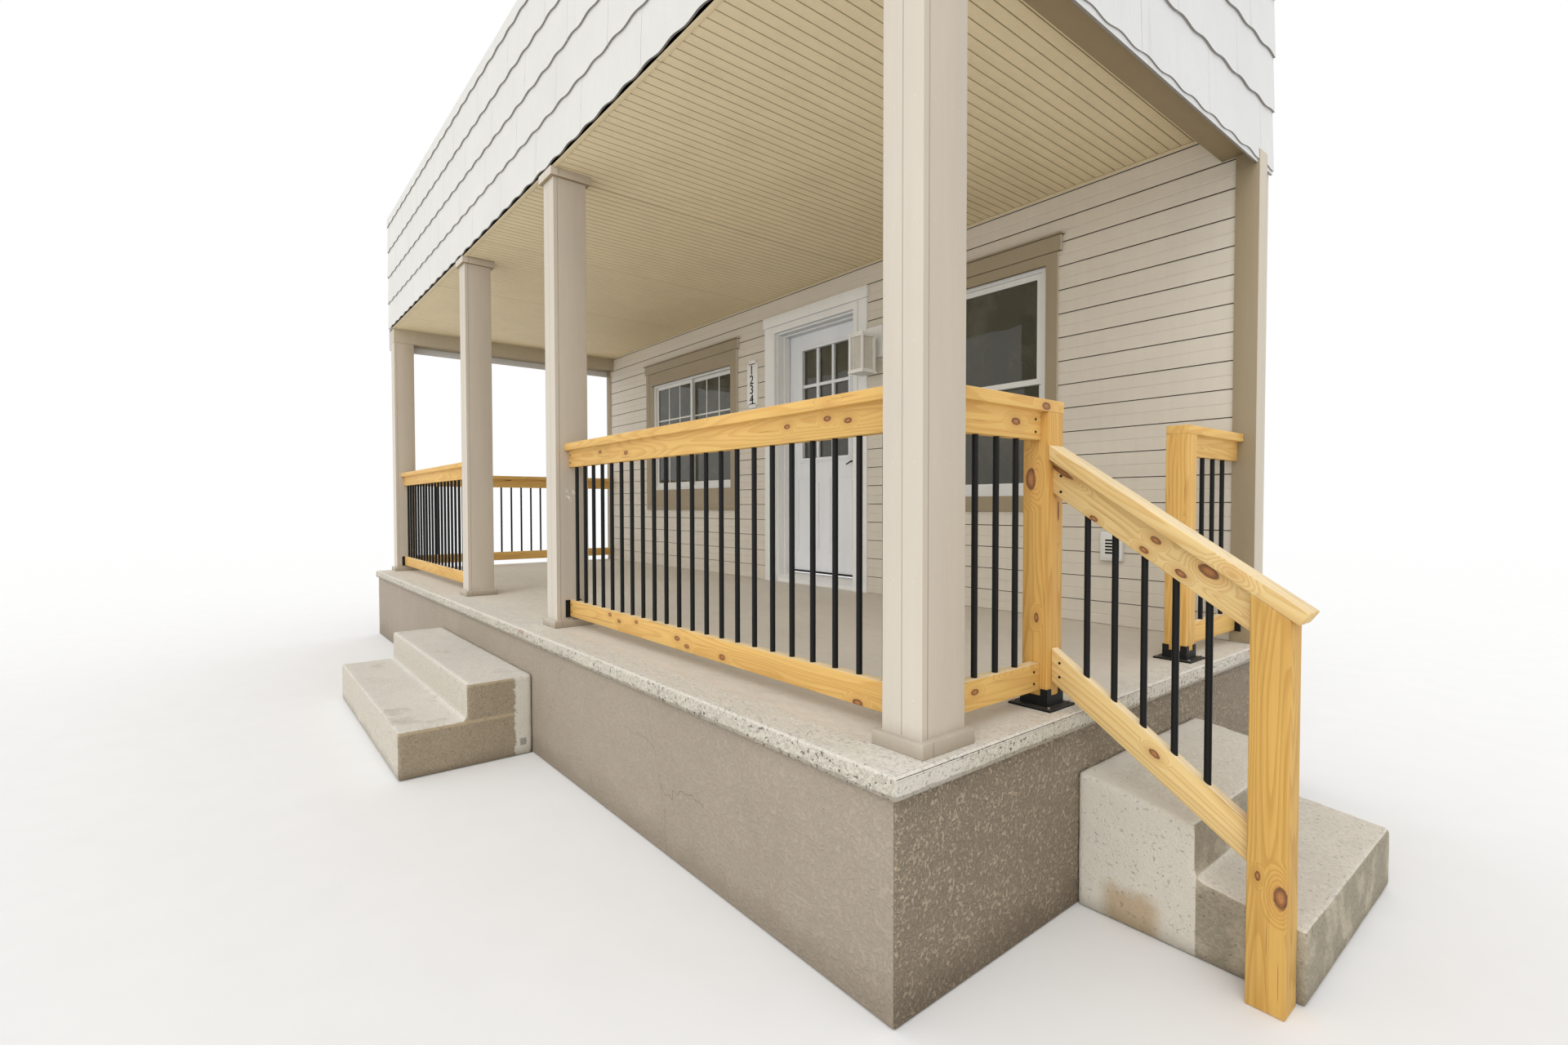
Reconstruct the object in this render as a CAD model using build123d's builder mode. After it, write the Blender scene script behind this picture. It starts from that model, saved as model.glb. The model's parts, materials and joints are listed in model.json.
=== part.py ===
"""Front porch of a two-storey timber house, with the house front behind it and the foot of the
upper wall over it. Millimetres, +X to the right along the front, +Y into the house, +Z up.
The origin is on the ground, in the middle of the whole footprint."""

import math
import os

from build123d import *

os.makedirs("parts", exist_ok=True)

# driving dimensions
# Levels, measured from the lowest ground
deck_height = 640.0
slab_thickness = 62.0
ceiling_over_casing = 155.0
ceiling_thickness = 20.0
beam_drop = 141.0
upper_floor_depth = 200.0
upper_wall_height = 900.0

# Plan
slab_width = 7000.0
porch_depth = 2537.0
slab_overhang = 20.0
slab_edge_round = 14.0
foundation_thickness = 200.0
side_margin = 50.0
front_margin = 158.0

# House front
wall_thickness = 175.0
corner_board_width = 100.0
corner_board_thickness = 25.0

# Boxed columns
column_width = 140.0
column_depth = 180.0
column_board = 25.0
column_trim_height = 40.0
column_trim_out = 20.0
column_cap_height = 45.0
entry_bay = 1554.0
right_bay = 2352.0

# Upper wall
stud_wall = 140.0
cladding = 12.0

# Front steps
upper_rise = 224.0
lower_rise = 182.0
upper_tread = 306.0
lower_tread = 307.0
front_step_width = 1850.0
step_edge_round = 10.0

# Side steps
side_rise = 203.0
block_reach = 350.0
block_fall = 53.0
block_rise = 154.0
low_slab_reach = 617.0
low_slab_fall = 32.0
side_step_width = 930.0
newel_gap = 5.0

# Railings
post_size = 89.0
rail_thickness = 38.0
rail_depth = 89.0
cap_top = 988.0
bottom_rail_gap = 56.0
baluster_diameter = 19.0
baluster_pitch = 109.0
baluster_end_gap = 50.0
# Rows that aren't spaced evenly: distance to the first bar and pitch
right_bay_row = (65.5, 105.5)
side_front_row = (139.0, 105.0)
side_rear_row = (62.0, 116.0)
post_front_distance = 507.0
post_gap = 990.0
cap_overrun = 5.0
post_base_size = 150.0
post_base_plate = 8.0
post_base_wall = 4.0
post_base_collar = 40.0
post_base_height = 62.0
post_base_lug = 25.0
post_standoff = 14.0
bracket_width = 86.0
bracket_thickness = 8.0
bracket_lip = 3.0

# Stair rail
newel_distance = 561.0
stair_slope = 33.6
stair_cap_top = 844.0
stair_cap_overrun = 38.0
stair_bottom_rail_top = 194.0
stair_baluster_count = 5
stair_baluster_pitch = 86.0

# Entry door
door_width = 914.0
door_height = 2032.0
door_thickness = 44.0
door_gap = 7.0
door_centre = 3107.0
threshold_height = 70.0
sweep_gap = 14.0
jamb = 32.0
stop_depth = 12.0
stop_length = 58.0
jamb_reveal = 13.0
mould_width = 51.0
mould_depth = 32.0
mould_round = 12.0
sill_out = 10.0
sill_nose = 30.0
casing_width = 92.0
casing_thickness = 24.0
door_head_bead = 10.0
door_head_height = 88.0
door_head_thickness = 36.0
door_head_ear = 10.0
lite_width = 559.0
lite_frame = 38.0
lite_frame_out = 8.0
lite_height = 914.0
lite_top_margin = 145.0
panel_recess = 7.0
panel_groove = 32.0
panel_margin = 110.0
panel_height = 620.0
glass_thickness = 6.0
lever_height = 907.0
lever_backset = 60.0
lever_length = 115.0
lever_out = 55.0
rose_diameter = 60.0
rose_thickness = 9.0
spindle_diameter = 12.0
running_gap = 0.3
hinge_height = 100.0
hinge_pin = 6.0
hinge_barrel = 14.0
hinge_strap = 34.0
hinge_plate = 2.0
hinge_offset = 8.0

# Windows, as distances from the right-hand end of the house front
trim_bottom = 615.0
trim_top = 2108.0
head_height = 98.0
head_out = 24.0
head_lap = 25.0
trim_thickness = 25.0
trim_band = 50.0
trim_band_out = 8.0
drip_cap = 10.0
drip_cap_out = 14.0
window_recess = 8.0
window_depth = 70.0
window_face = 45.0
sash_stile = 34.0
sash_depth = 26.0
sash_set_back = 12.0
slider_right = 4259.0
slider_width = 1524.0
slider_bottom = 826.0
slider_height = 1173.0
slider_trim = 108.0
sash_right = 1047.0
sash_width = 914.0
sash_bottom = 710.0
sash_height = 1361.0
sash_trim = 74.0

# Wall lantern
lantern_block_width = 147.0
lantern_block_height = 228.0
lantern_block_thickness = 35.0
lantern_gap = 14.0
lantern_drop = 325.0
lantern_hang = 128.0
lantern_side = 134.0
lantern_height = 255.0
lantern_bar = 12.0
lantern_cap = 14.0
lantern_arm = 56.0
lantern_glass = 3.0

# derived positions
slope = math.tan(math.radians(stair_slope))
slope_cosine = math.cos(math.radians(stair_slope))

stair_reach = (
    newel_distance
    + 1.5 * post_size
    + stair_cap_overrun
    - side_margin
    - column_width / 2
)
side_reach = max(stair_reach, low_slab_reach - slab_overhang)
front_reach = upper_tread + lower_tread
total_width = slab_width + side_reach
total_depth = front_reach + porch_depth + wall_thickness + lever_out

x_slab_right = total_width / 2 - side_reach
x_slab_left = x_slab_right - slab_width
y_slab_front = front_reach - total_depth / 2
y_wall = y_slab_front + porch_depth
y_wall_back = y_wall + wall_thickness

z_deck = deck_height
z_slab_bottom = z_deck - slab_thickness
z_door = z_deck + threshold_height + sweep_gap
z_door_top = z_door + door_height
z_frame_top = z_door_top + door_gap
z_hole_top = z_frame_top + jamb
z_mould_top = z_frame_top + jamb_reveal + mould_width
z_head_board = z_mould_top + door_head_bead
z_casing_top = z_head_board + door_head_height
z_ceiling = z_casing_top + ceiling_over_casing
z_beam = z_ceiling - beam_drop
z_floor_under = z_ceiling + ceiling_thickness
z_upper_floor = z_floor_under + upper_floor_depth
z_upper_top = z_upper_floor + upper_wall_height

x_right = x_slab_right - side_margin
x_left = x_slab_left + side_margin
y_column_front = y_slab_front + front_margin
y_column_back = y_column_front + column_depth
y_column = (y_column_front + y_column_back) / 2

x_corner = x_right - column_width / 2
x_stair_right = x_corner - column_width - right_bay
x_stair_left = x_stair_right - column_width - entry_bay
x_far_left = x_left + column_width / 2
y_board = y_wall - corner_board_thickness

z_cap_top = z_deck + cap_top
z_cap = z_cap_top - rail_thickness
z_top_rail = z_cap - rail_depth
z_low_rail = z_deck + bottom_rail_gap
z_low_rail_top = z_low_rail + rail_depth

y_post_front = y_column_back + post_front_distance - post_size / 2
y_post_rear = y_post_front + post_size + post_gap
x_newel = x_corner + post_size / 2 + newel_distance + post_size / 2


def plan(x_1, x_2, y_1, y_2, mode=Mode.ADD):
    """Rectangle between two X and two Y lines, in a sketch on a level plane.

    Args:
        x_1, x_2: left and right edges.
        y_1, y_2: front and back edges.
        mode: how the rectangle joins the sketch.
    """
    with Locations(((x_1 + x_2) / 2, (y_1 + y_2) / 2)):
        Rectangle(x_2 - x_1, y_2 - y_1, mode=mode)


def level(z):
    """Level sketch plane at height z."""
    return Plane.XY.offset(z)


def front_view(y):
    """Upright plane at depth y whose sketch X is +X and sketch Y is +Z, facing the front."""
    return Plane(origin=(0, y, 0), x_dir=(1, 0, 0), z_dir=(0, -1, 0))


def side_view(x):
    """Upright plane at x whose sketch X is +Y and sketch Y is +Z, facing the right side."""
    return Plane(origin=(x, 0, 0), x_dir=(0, 1, 0), z_dir=(1, 0, 0))


def save(piece, name):
    """Label a finished piece and write it.

    Args:
        piece: the BuildPart that holds it.
        name: node name, also the file's name.
    """
    piece.part.label = name
    export_step(piece.part, f"parts/{name}.step")


# base and steps
foundation_right = x_slab_right - slab_overhang
foundation_left = x_slab_left + slab_overhang
foundation_front = y_slab_front + slab_overhang

with BuildPart() as foundation_wall:
    with BuildSketch():
        plan(foundation_left, foundation_right, foundation_front, y_wall_back)
        plan(
            foundation_left + foundation_thickness,
            foundation_right - foundation_thickness,
            foundation_front + foundation_thickness,
            y_wall_back - foundation_thickness,
            mode=Mode.SUBTRACT,
        )
    extrude(amount=z_slab_bottom)
save(foundation_wall, "foundation_wall")

with BuildPart() as porch_slab:
    with BuildSketch(level(z_slab_bottom)):
        plan(x_slab_left, x_slab_right, y_slab_front, y_wall_back)
    extrude(amount=slab_thickness)
    top_edges = porch_slab.faces().sort_by(Axis.Z)[-1].edges().sort_by(Axis.Y)[:-1]
    fillet(top_edges, slab_edge_round)
save(porch_slab, "porch_slab")

# The front steps are as wide as their treads and stand in the middle of the entry bay.
x_entry = (x_stair_left + x_stair_right) / 2
z_step_upper = z_deck - upper_rise
z_step_lower = z_step_upper - lower_rise
with BuildPart() as front_steps:
    for reach, z_tread in ((front_reach, z_step_lower), (upper_tread, z_step_upper)):
        with BuildSketch():
            plan(
                x_entry - front_step_width / 2,
                x_entry + front_step_width / 2,
                y_slab_front - reach,
                foundation_front,
            )
        extrude(amount=z_tread)
        tread_edges = front_steps.faces().sort_by(Axis.Z)[-1].edges().sort_by(Axis.Y)[:-1]
        fillet(tread_edges, step_edge_round)
save(front_steps, "front_steps")

# The side steps start just behind the newel post, and their tops fall away from the foundation.
x_block = foundation_right + block_reach
x_low_slab = foundation_right + low_slab_reach
z_block_inner = z_deck - side_rise
z_block_outer = z_block_inner - block_fall
z_low_slab = z_block_outer - block_rise
y_side_steps = y_post_front + post_size + newel_gap + side_step_width
with BuildPart() as side_step_slab:
    with BuildSketch(front_view(y_side_steps)):
        with BuildLine():
            Polyline(
                (foundation_right, 0),
                (x_low_slab, 0),
                (x_low_slab, z_low_slab - low_slab_fall),
                (x_block, z_low_slab),
                (foundation_right, z_low_slab),
                close=True,
            )
        make_face()
    extrude(amount=side_step_width)
    outer_top = side_step_slab.faces().filter_by(Plane.XY, reverse=True).sort_by(Axis.Z)[-1]
    fillet(outer_top.edges().sort_by(Axis.X)[1:], slab_edge_round)
save(side_step_slab, "side_step_slab")

with BuildPart() as side_step_block:
    with BuildSketch(front_view(y_side_steps)):
        with BuildLine():
            Polyline(
                (foundation_right, z_low_slab),
                (x_block, z_low_slab),
                (x_block, z_block_outer),
                (foundation_right, z_block_inner),
                close=True,
            )
        make_face()
    extrude(amount=side_step_width)
    fillet(side_step_block.faces().sort_by(Axis.Z)[-1].edges().sort_by(Axis.X)[1:], step_edge_round)
save(side_step_block, "side_step_block")


# columns
def boxed_column(x_centre, z_top, capped):
    """Column boxed in boards, with a base trim and, under the ceiling, a cap trim.

    Args:
        x_centre: X of the column's axis.
        z_top: height of its top.
        capped: whether a cap trim goes round the top.

    Returns:
        The BuildPart that holds the column.
    """
    with BuildPart() as column:
        with BuildSketch(level(z_deck)):
            with Locations((x_centre, y_column)):
                Rectangle(column_width, column_depth)
        extrude(amount=z_top - z_deck)
        with BuildSketch(level(z_deck)):
            with Locations((x_centre, y_column)):
                Rectangle(column_width + 2 * column_trim_out, column_depth + 2 * column_trim_out)
        extrude(amount=column_trim_height)
        if capped:
            with BuildSketch(level(z_top - column_cap_height)):
                with Locations((x_centre, y_column)):
                    Rectangle(
                        column_width + 2 * column_trim_out, column_depth + 2 * column_trim_out
                    )
            extrude(amount=column_cap_height)
        with BuildSketch(level(z_deck)):
            with Locations((x_centre, y_column)):
                Rectangle(column_width - 2 * column_board, column_depth - 2 * column_board)
        extrude(amount=z_top - z_deck, mode=Mode.SUBTRACT)
    return column


column_far_left = boxed_column(x_far_left, z_beam, False)
save(column_far_left, "column_far_left")
column_stair_left = boxed_column(x_stair_left, z_ceiling, True)
save(column_stair_left, "column_stair_left")
column_stair_right = boxed_column(x_stair_right, z_ceiling, True)
save(column_stair_right, "column_stair_right")
column_corner = boxed_column(x_corner, z_beam, False)
save(column_corner, "column_corner")

# ceiling and upper storey
with BuildPart() as side_beam_left:
    with BuildSketch(level(z_beam)):
        plan(x_left, x_left + column_width, y_column_front, y_wall)
    extrude(amount=z_floor_under - z_beam)
save(side_beam_left, "side_beam_left")

with BuildPart() as side_beam_right:
    with BuildSketch(level(z_beam)):
        plan(x_right - column_width, x_right, y_column_front, y_wall)
    extrude(amount=z_floor_under - z_beam)
save(side_beam_right, "side_beam_right")

with BuildPart() as porch_ceiling:
    with BuildSketch(level(z_ceiling)):
        plan(x_left + column_width, x_right - column_width, y_column_front, y_wall)
    extrude(amount=ceiling_thickness)
save(porch_ceiling, "porch_ceiling")

with BuildPart() as upper_floor:
    with BuildSketch(level(z_floor_under)):
        plan(x_left, x_right, y_column_front, y_wall_back)
    extrude(amount=upper_floor_depth)
save(upper_floor, "upper_floor")

# The front cladding laps the floor's edge and stops level with the ceiling.
with BuildPart() as upper_wall_front:
    with BuildSketch(side_view(x_left - cladding)):
        with BuildLine():
            Polyline(
                (y_column_front - cladding, z_ceiling),
                (y_column_front, z_ceiling),
                (y_column_front, z_upper_floor),
                (y_column_front + stud_wall, z_upper_floor),
                (y_column_front + stud_wall, z_upper_top),
                (y_column_front - cladding, z_upper_top),
                close=True,
            )
        make_face()
    extrude(amount=x_right - x_left + 2 * cladding)
    with BuildSketch(level(z_upper_floor)):
        plan(x_left - cladding, x_left, y_column_front, y_column_front + stud_wall)
        plan(x_right, x_right + cladding, y_column_front, y_column_front + stud_wall)
    extrude(amount=upper_wall_height, mode=Mode.SUBTRACT)
save(upper_wall_front, "upper_wall_front")


def upper_side_wall(x_face, outward):
    """Upper wall of one side, whose cladding hangs over the side beam.

    Args:
        x_face: X of the beam's outer face.
        outward: 1 on the right, -1 on the left.

    Returns:
        The BuildPart that holds the wall.
    """
    with BuildPart() as wall:
        with BuildSketch(front_view(y_wall_back)):
            with BuildLine():
                Polyline(
                    (x_face + outward * cladding, z_beam),
                    (x_face, z_beam),
                    (x_face, z_upper_floor),
                    (x_face - outward * stud_wall, z_upper_floor),
                    (x_face - outward * stud_wall, z_upper_top),
                    (x_face + outward * cladding, z_upper_top),
                    close=True,
                )
            make_face()
        extrude(amount=y_wall_back - y_column_front)
        with BuildSketch(level(z_upper_floor)):
            inner = x_face - outward * stud_wall
            plan(min(inner, x_face), max(inner, x_face), y_column_front, y_column_front + stud_wall)
        extrude(amount=upper_wall_height, mode=Mode.SUBTRACT)
    return wall


upper_wall_left = upper_side_wall(x_left, -1)
save(upper_wall_left, "upper_wall_left")
upper_wall_right = upper_side_wall(x_right, 1)
save(upper_wall_right, "upper_wall_right")

# house front
x_door = x_right - door_centre
x_door_left = x_door - door_width / 2
x_door_right = x_door + door_width / 2
x_frame_left = x_door_left - door_gap
x_frame_right = x_door_right + door_gap
x_hole_left = x_frame_left - jamb
x_hole_right = x_frame_right + jamb
x_reveal_left = x_frame_left - jamb_reveal
x_reveal_right = x_frame_right + jamb_reveal
x_mould_left = x_reveal_left - mould_width
x_mould_right = x_reveal_right + mould_width

x_slider = x_right - slider_right - slider_width / 2
z_slider = z_deck + slider_bottom + slider_height / 2
x_sash = x_right - sash_right - sash_width / 2
z_sash = z_deck + sash_bottom + sash_height / 2

with BuildPart() as wall_left:
    with BuildSketch(level(z_deck)):
        plan(x_left, x_hole_left, y_wall, y_wall_back)
    extrude(amount=z_floor_under - z_deck)
    with BuildSketch(front_view(y_wall_back)):
        with Locations((x_slider, z_slider)):
            Rectangle(slider_width, slider_height)
    extrude(amount=wall_thickness, mode=Mode.SUBTRACT)
save(wall_left, "wall_left")

with BuildPart() as wall_right:
    with BuildSketch(level(z_deck)):
        plan(x_hole_right, x_right, y_wall, y_wall_back)
    extrude(amount=z_floor_under - z_deck)
    with BuildSketch(front_view(y_wall_back)):
        with Locations((x_sash, z_sash)):
            Rectangle(sash_width, sash_height)
    extrude(amount=wall_thickness, mode=Mode.SUBTRACT)
save(wall_right, "wall_right")

with BuildPart() as wall_over_door:
    with BuildSketch(level(z_hole_top)):
        plan(x_hole_left, x_hole_right, y_wall, y_wall_back)
    extrude(amount=z_floor_under - z_hole_top)
save(wall_over_door, "wall_over_door")


def corner_board(x_face, outward):
    """L-shaped board round one end of the house front.

    Args:
        x_face: X of the wall's end.
        outward: 1 on the right, -1 on the left.

    Returns:
        The BuildPart that holds the board.
    """
    x_out = x_face + outward * corner_board_thickness
    x_in = x_out - outward * corner_board_width
    with BuildPart() as board:
        with BuildSketch(level(z_deck)):
            plan(min(x_in, x_out), max(x_in, x_out), y_board, y_wall)
            plan(min(x_face, x_out), max(x_face, x_out), y_board, y_board + corner_board_width)
        extrude(amount=z_beam - z_deck)
    return board


corner_board_left = corner_board(x_left, -1)
save(corner_board_left, "corner_board_left")
corner_board_right = corner_board(x_right, 1)
save(corner_board_right, "corner_board_right")

# entry door
y_door_back = y_wall_back
y_door = y_door_back - door_thickness
y_stop = y_door - door_gap

# Jambs and head in the hole, a mould round them on the wall's face, the stop and the sill.
with BuildPart() as door_frame:
    with BuildSketch(front_view(y_wall_back)):
        plan(x_hole_left, x_hole_right, z_deck, z_hole_top)
        plan(x_frame_left, x_frame_right, z_deck, z_frame_top, mode=Mode.SUBTRACT)
    extrude(amount=wall_thickness)
    with BuildSketch(front_view(y_wall)):
        plan(x_mould_left, x_mould_right, z_deck, z_mould_top)
        plan(
            x_reveal_left,
            x_reveal_right,
            z_deck,
            z_frame_top + jamb_reveal,
            mode=Mode.SUBTRACT,
        )
    extrude(amount=mould_depth)
    mould_edges = door_frame.faces().sort_by(Axis.Y)[0].edges()
    inner_edges = mould_edges.filter_by_position(Axis.X, x_reveal_left, x_reveal_right)
    fillet(inner_edges.filter_by_position(Axis.Z, z_deck, z_frame_top + jamb_reveal), mould_round)
    with BuildSketch(front_view(y_stop)):
        plan(x_frame_left, x_frame_right, z_deck, z_frame_top)
        plan(
            x_frame_left + stop_depth,
            x_frame_right - stop_depth,
            z_deck,
            z_frame_top - stop_depth,
            mode=Mode.SUBTRACT,
        )
    extrude(amount=stop_length)
    with BuildSketch(side_view(x_frame_left)):
        with BuildLine():
            Polyline(
                (y_wall - sill_out, z_deck),
                (y_wall_back, z_deck),
                (y_wall_back, z_deck + threshold_height),
                (y_stop, z_deck + threshold_height),
                (y_wall - sill_out, z_deck + sill_nose),
                close=True,
            )
        make_face()
    extrude(amount=x_frame_right - x_frame_left)
save(door_frame, "door_frame")

# Flat side boards under a head board with ears.
with BuildPart() as door_casing:
    with BuildSketch(front_view(y_wall)):
        plan(x_mould_left - casing_width, x_mould_right + casing_width, z_deck, z_head_board)
        plan(x_mould_left, x_mould_right, z_deck, z_mould_top, mode=Mode.SUBTRACT)
    extrude(amount=casing_thickness)
    with BuildSketch(front_view(y_wall)):
        plan(
            x_mould_left - casing_width - door_head_ear,
            x_mould_right + casing_width + door_head_ear,
            z_head_board,
            z_casing_top,
        )
    extrude(amount=door_head_thickness)
save(door_casing, "door_casing")

z_lite_top = z_door_top - lite_top_margin
z_lite = z_lite_top - lite_height
with BuildPart() as door_leaf:
    with BuildSketch(front_view(y_door_back)):
        plan(x_door_left, x_door_right, z_door, z_door_top)
    extrude(amount=door_thickness)
    with BuildSketch(front_view(y_door_back)):
        plan(x_door - lite_width / 2, x_door + lite_width / 2, z_lite, z_lite_top)
    extrude(amount=door_thickness, mode=Mode.SUBTRACT)
    panel_width = (door_width - 3 * panel_margin) / 2
    panel_shift = (panel_width + panel_margin) / 2
    z_panel = (z_door + z_lite) / 2
    for face_y, inward in ((y_door, 1), (y_door_back, -1)):
        with BuildSketch(front_view(face_y)):
            with Locations((x_door - panel_shift, z_panel), (x_door + panel_shift, z_panel)):
                Rectangle(panel_width, panel_height)
                Rectangle(
                    panel_width - 2 * panel_groove,
                    panel_height - 2 * panel_groove,
                    mode=Mode.SUBTRACT,
                )
        extrude(amount=-inward * panel_recess, mode=Mode.SUBTRACT)
        with BuildSketch(front_view(face_y)):
            with Locations((x_door, z_lite + lite_height / 2)):
                Rectangle(lite_width + 2 * lite_frame, lite_height + 2 * lite_frame)
                Rectangle(lite_width, lite_height, mode=Mode.SUBTRACT)
        extrude(amount=inward * lite_frame_out)
    with BuildSketch(front_view(y_door_back)):
        with Locations((x_door_right - lever_backset, z_door + lever_height)):
            Circle(spindle_diameter / 2 + running_gap)
    extrude(amount=door_thickness, mode=Mode.SUBTRACT)
save(door_leaf, "door_leaf")

with BuildPart() as door_glass:
    with BuildSketch(front_view(y_door + door_thickness / 2 + glass_thickness / 2)):
        plan(x_door - lite_width / 2, x_door + lite_width / 2, z_lite, z_lite_top)
    extrude(amount=glass_thickness)
save(door_glass, "door_glass")

# Lever handle: roses, necks and levers either side, joined by the spindle.
x_lever = x_door_right - lever_backset
z_lever = z_door + lever_height
lever_bar = 2 * rose_thickness
with BuildPart() as door_lever:
    with BuildSketch(front_view(y_door_back + lever_out)):
        with Locations((x_lever, z_lever)):
            Circle(spindle_diameter / 2)
    extrude(amount=door_thickness + 2 * lever_out)
    for rose_face in (y_door, y_door_back + rose_thickness):
        with BuildSketch(front_view(rose_face)):
            with Locations((x_lever, z_lever)):
                Circle(rose_diameter / 2)
        extrude(amount=rose_thickness)
    for bar_back in (y_door - lever_out + spindle_diameter, y_door_back + lever_out):
        with BuildSketch(front_view(bar_back)):
            with Locations((x_lever - lever_length / 2 + lever_bar / 2, z_lever)):
                SlotOverall(lever_length, lever_bar)
        extrude(amount=spindle_diameter)
save(door_lever, "door_lever")

# Butt hinges: the pin stands behind the leaf's inner face, over the gap.
x_pin = x_door_left - door_gap / 2
y_pin = y_door_back + hinge_offset
knuckle = (hinge_height - 2 * running_gap) / 3
hinge_bottoms = [
    z_door + hinge_height + share * (door_height - 3 * hinge_height) / 2 for share in (0, 1, 2)
]

with BuildPart() as door_hinge_pins:
    for z_hinge in hinge_bottoms:
        z_upper_knuckle = z_hinge + hinge_height - knuckle
        with BuildSketch(level(z_hinge), level(z_upper_knuckle)):
            with Locations((x_pin, y_pin)):
                Circle(hinge_barrel / 2)
            plan(x_pin - hinge_strap, x_pin, y_door_back, y_door_back + hinge_plate)
            plan(
                x_pin - hinge_barrel / 2,
                x_pin,
                y_door_back,
                y_pin,
            )
        extrude(amount=knuckle)
        with BuildSketch(level(z_hinge)):
            with Locations((x_pin, y_pin)):
                Circle(hinge_pin / 2)
            plan(
                x_pin - hinge_strap,
                x_pin - hinge_barrel / 2 - door_gap / 2,
                y_door_back,
                y_door_back + hinge_plate,
            )
        extrude(amount=hinge_height)
save(door_hinge_pins, "door_hinge_pins")

with BuildPart() as door_hinge_leaves:
    for z_hinge in hinge_bottoms:
        with BuildSketch(level(z_hinge + knuckle + running_gap)):
            with Locations((x_pin, y_pin)):
                Circle(hinge_barrel / 2)
            plan(x_pin, x_pin + hinge_barrel / 2, y_door_back, y_pin)
            plan(x_pin, x_pin + hinge_strap, y_door_back, y_door_back + hinge_plate)
            with Locations((x_pin, y_pin)):
                Circle(hinge_pin / 2 + running_gap, mode=Mode.SUBTRACT)
        extrude(amount=knuckle)
save(door_hinge_leaves, "door_hinge_leaves")


# windows
def window_trim(x_centre, z_centre, width, height, side, band=0.0):
    """Boards round a window, a head board and a drip cap. The boards lap the unit's top.

    Args:
        x_centre, z_centre: middle of the window unit.
        width, height: size of the window unit.
        side: width of the side boards.
        band: width of the raised band along their outer edge, 0 for none.

    Returns:
        The BuildPart that holds the boards.
    """
    half = width / 2 + side
    z_bottom = z_deck + trim_bottom
    z_top = z_deck + trim_top
    z_cap_bottom = z_top + head_height - drip_cap
    head_thickness = trim_thickness + head_out / 2
    with BuildPart() as boards:
        with BuildSketch(front_view(y_wall)):
            plan(x_centre - half, x_centre + half, z_bottom, z_top)
            plan(
                x_centre - width / 2,
                x_centre + width / 2,
                z_centre - height / 2,
                z_centre + height / 2 - head_lap,
                mode=Mode.SUBTRACT,
            )
        extrude(amount=trim_thickness)
        if band:
            with BuildSketch(front_view(y_wall)):
                plan(x_centre - half, x_centre + half, z_bottom, z_top)
                plan(
                    x_centre - half + band,
                    x_centre + half - band,
                    z_bottom + band,
                    z_top,
                    mode=Mode.SUBTRACT,
                )
            extrude(amount=trim_thickness + trim_band_out)
        with BuildSketch(front_view(y_wall)):
            plan(x_centre - half - head_out, x_centre + half + head_out, z_top, z_cap_bottom)
        extrude(amount=head_thickness)
        with BuildSketch(front_view(y_wall)):
            plan(
                x_centre - half - head_out - drip_cap_out,
                x_centre + half + head_out + drip_cap_out,
                z_cap_bottom,
                z_top + head_height,
            )
        extrude(amount=head_thickness + drip_cap_out)
    return boards


def sash_places(x_centre, z_centre, width, height, upright):
    """Where the two sashes of a window stand, the one in the outer track first.

    Args:
        x_centre, z_centre: middle of the unit.
        width, height: its outer size.
        upright: whether the sashes meet on an upright line.

    Returns:
        For each sash its middle, its width, its height and the Y of its back.
    """
    inner_width = width - 2 * window_face
    inner_height = height - 2 * window_face
    if upright:
        sash_size = ((inner_width + sash_stile) / 2, inner_height)
        shift_x, shift_z = (inner_width - sash_stile) / 4, 0.0
    else:
        sash_size = (inner_width, (inner_height + sash_stile) / 2)
        shift_x, shift_z = 0.0, (inner_height - sash_stile) / 4
    y_outer = y_wall + window_recess + sash_set_back + sash_depth
    return [
        ((x_centre - shift_x, z_centre + shift_z), *sash_size, y_outer),
        ((x_centre + shift_x, z_centre - shift_z), *sash_size, y_outer + sash_depth),
    ]


def window_unit(x_centre, z_centre, width, height, upright):
    """White window frame with two sashes at two depths, which lap where they meet.

    Args:
        x_centre, z_centre: middle of the unit.
        width, height: its outer size.
        upright: whether the sashes meet on an upright line.

    Returns:
        The BuildPart that holds the frame.
    """
    with BuildPart() as unit:
        with BuildSketch(front_view(y_wall + window_recess + window_depth)):
            with Locations((x_centre, z_centre)):
                Rectangle(width, height)
                Rectangle(width - 2 * window_face, height - 2 * window_face, mode=Mode.SUBTRACT)
        extrude(amount=window_depth)
        places = sash_places(x_centre, z_centre, width, height, upright)
        for middle, sash_w, sash_h, y_sash_back in places:
            with BuildSketch(front_view(y_sash_back)):
                with Locations(middle):
                    Rectangle(sash_w, sash_h)
                    Rectangle(sash_w - 2 * sash_stile, sash_h - 2 * sash_stile, mode=Mode.SUBTRACT)
            extrude(amount=sash_depth)
    return unit


def window_panes(x_centre, z_centre, width, height, upright):
    """The two panes of a window, one in each sash.

    Args:
        x_centre, z_centre: middle of the unit.
        width, height: its outer size.
        upright: whether the sashes meet on an upright line.

    Returns:
        The BuildPart that holds the panes.
    """
    with BuildPart() as panes:
        places = sash_places(x_centre, z_centre, width, height, upright)
        for middle, sash_w, sash_h, y_sash_back in places:
            with BuildSketch(front_view(y_sash_back - (sash_depth - glass_thickness) / 2)):
                with Locations(middle):
                    Rectangle(sash_w - 2 * sash_stile, sash_h - 2 * sash_stile)
            extrude(amount=glass_thickness)
    return panes


slider = (x_slider, z_slider, slider_width, slider_height)
sash = (x_sash, z_sash, sash_width, sash_height)

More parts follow.
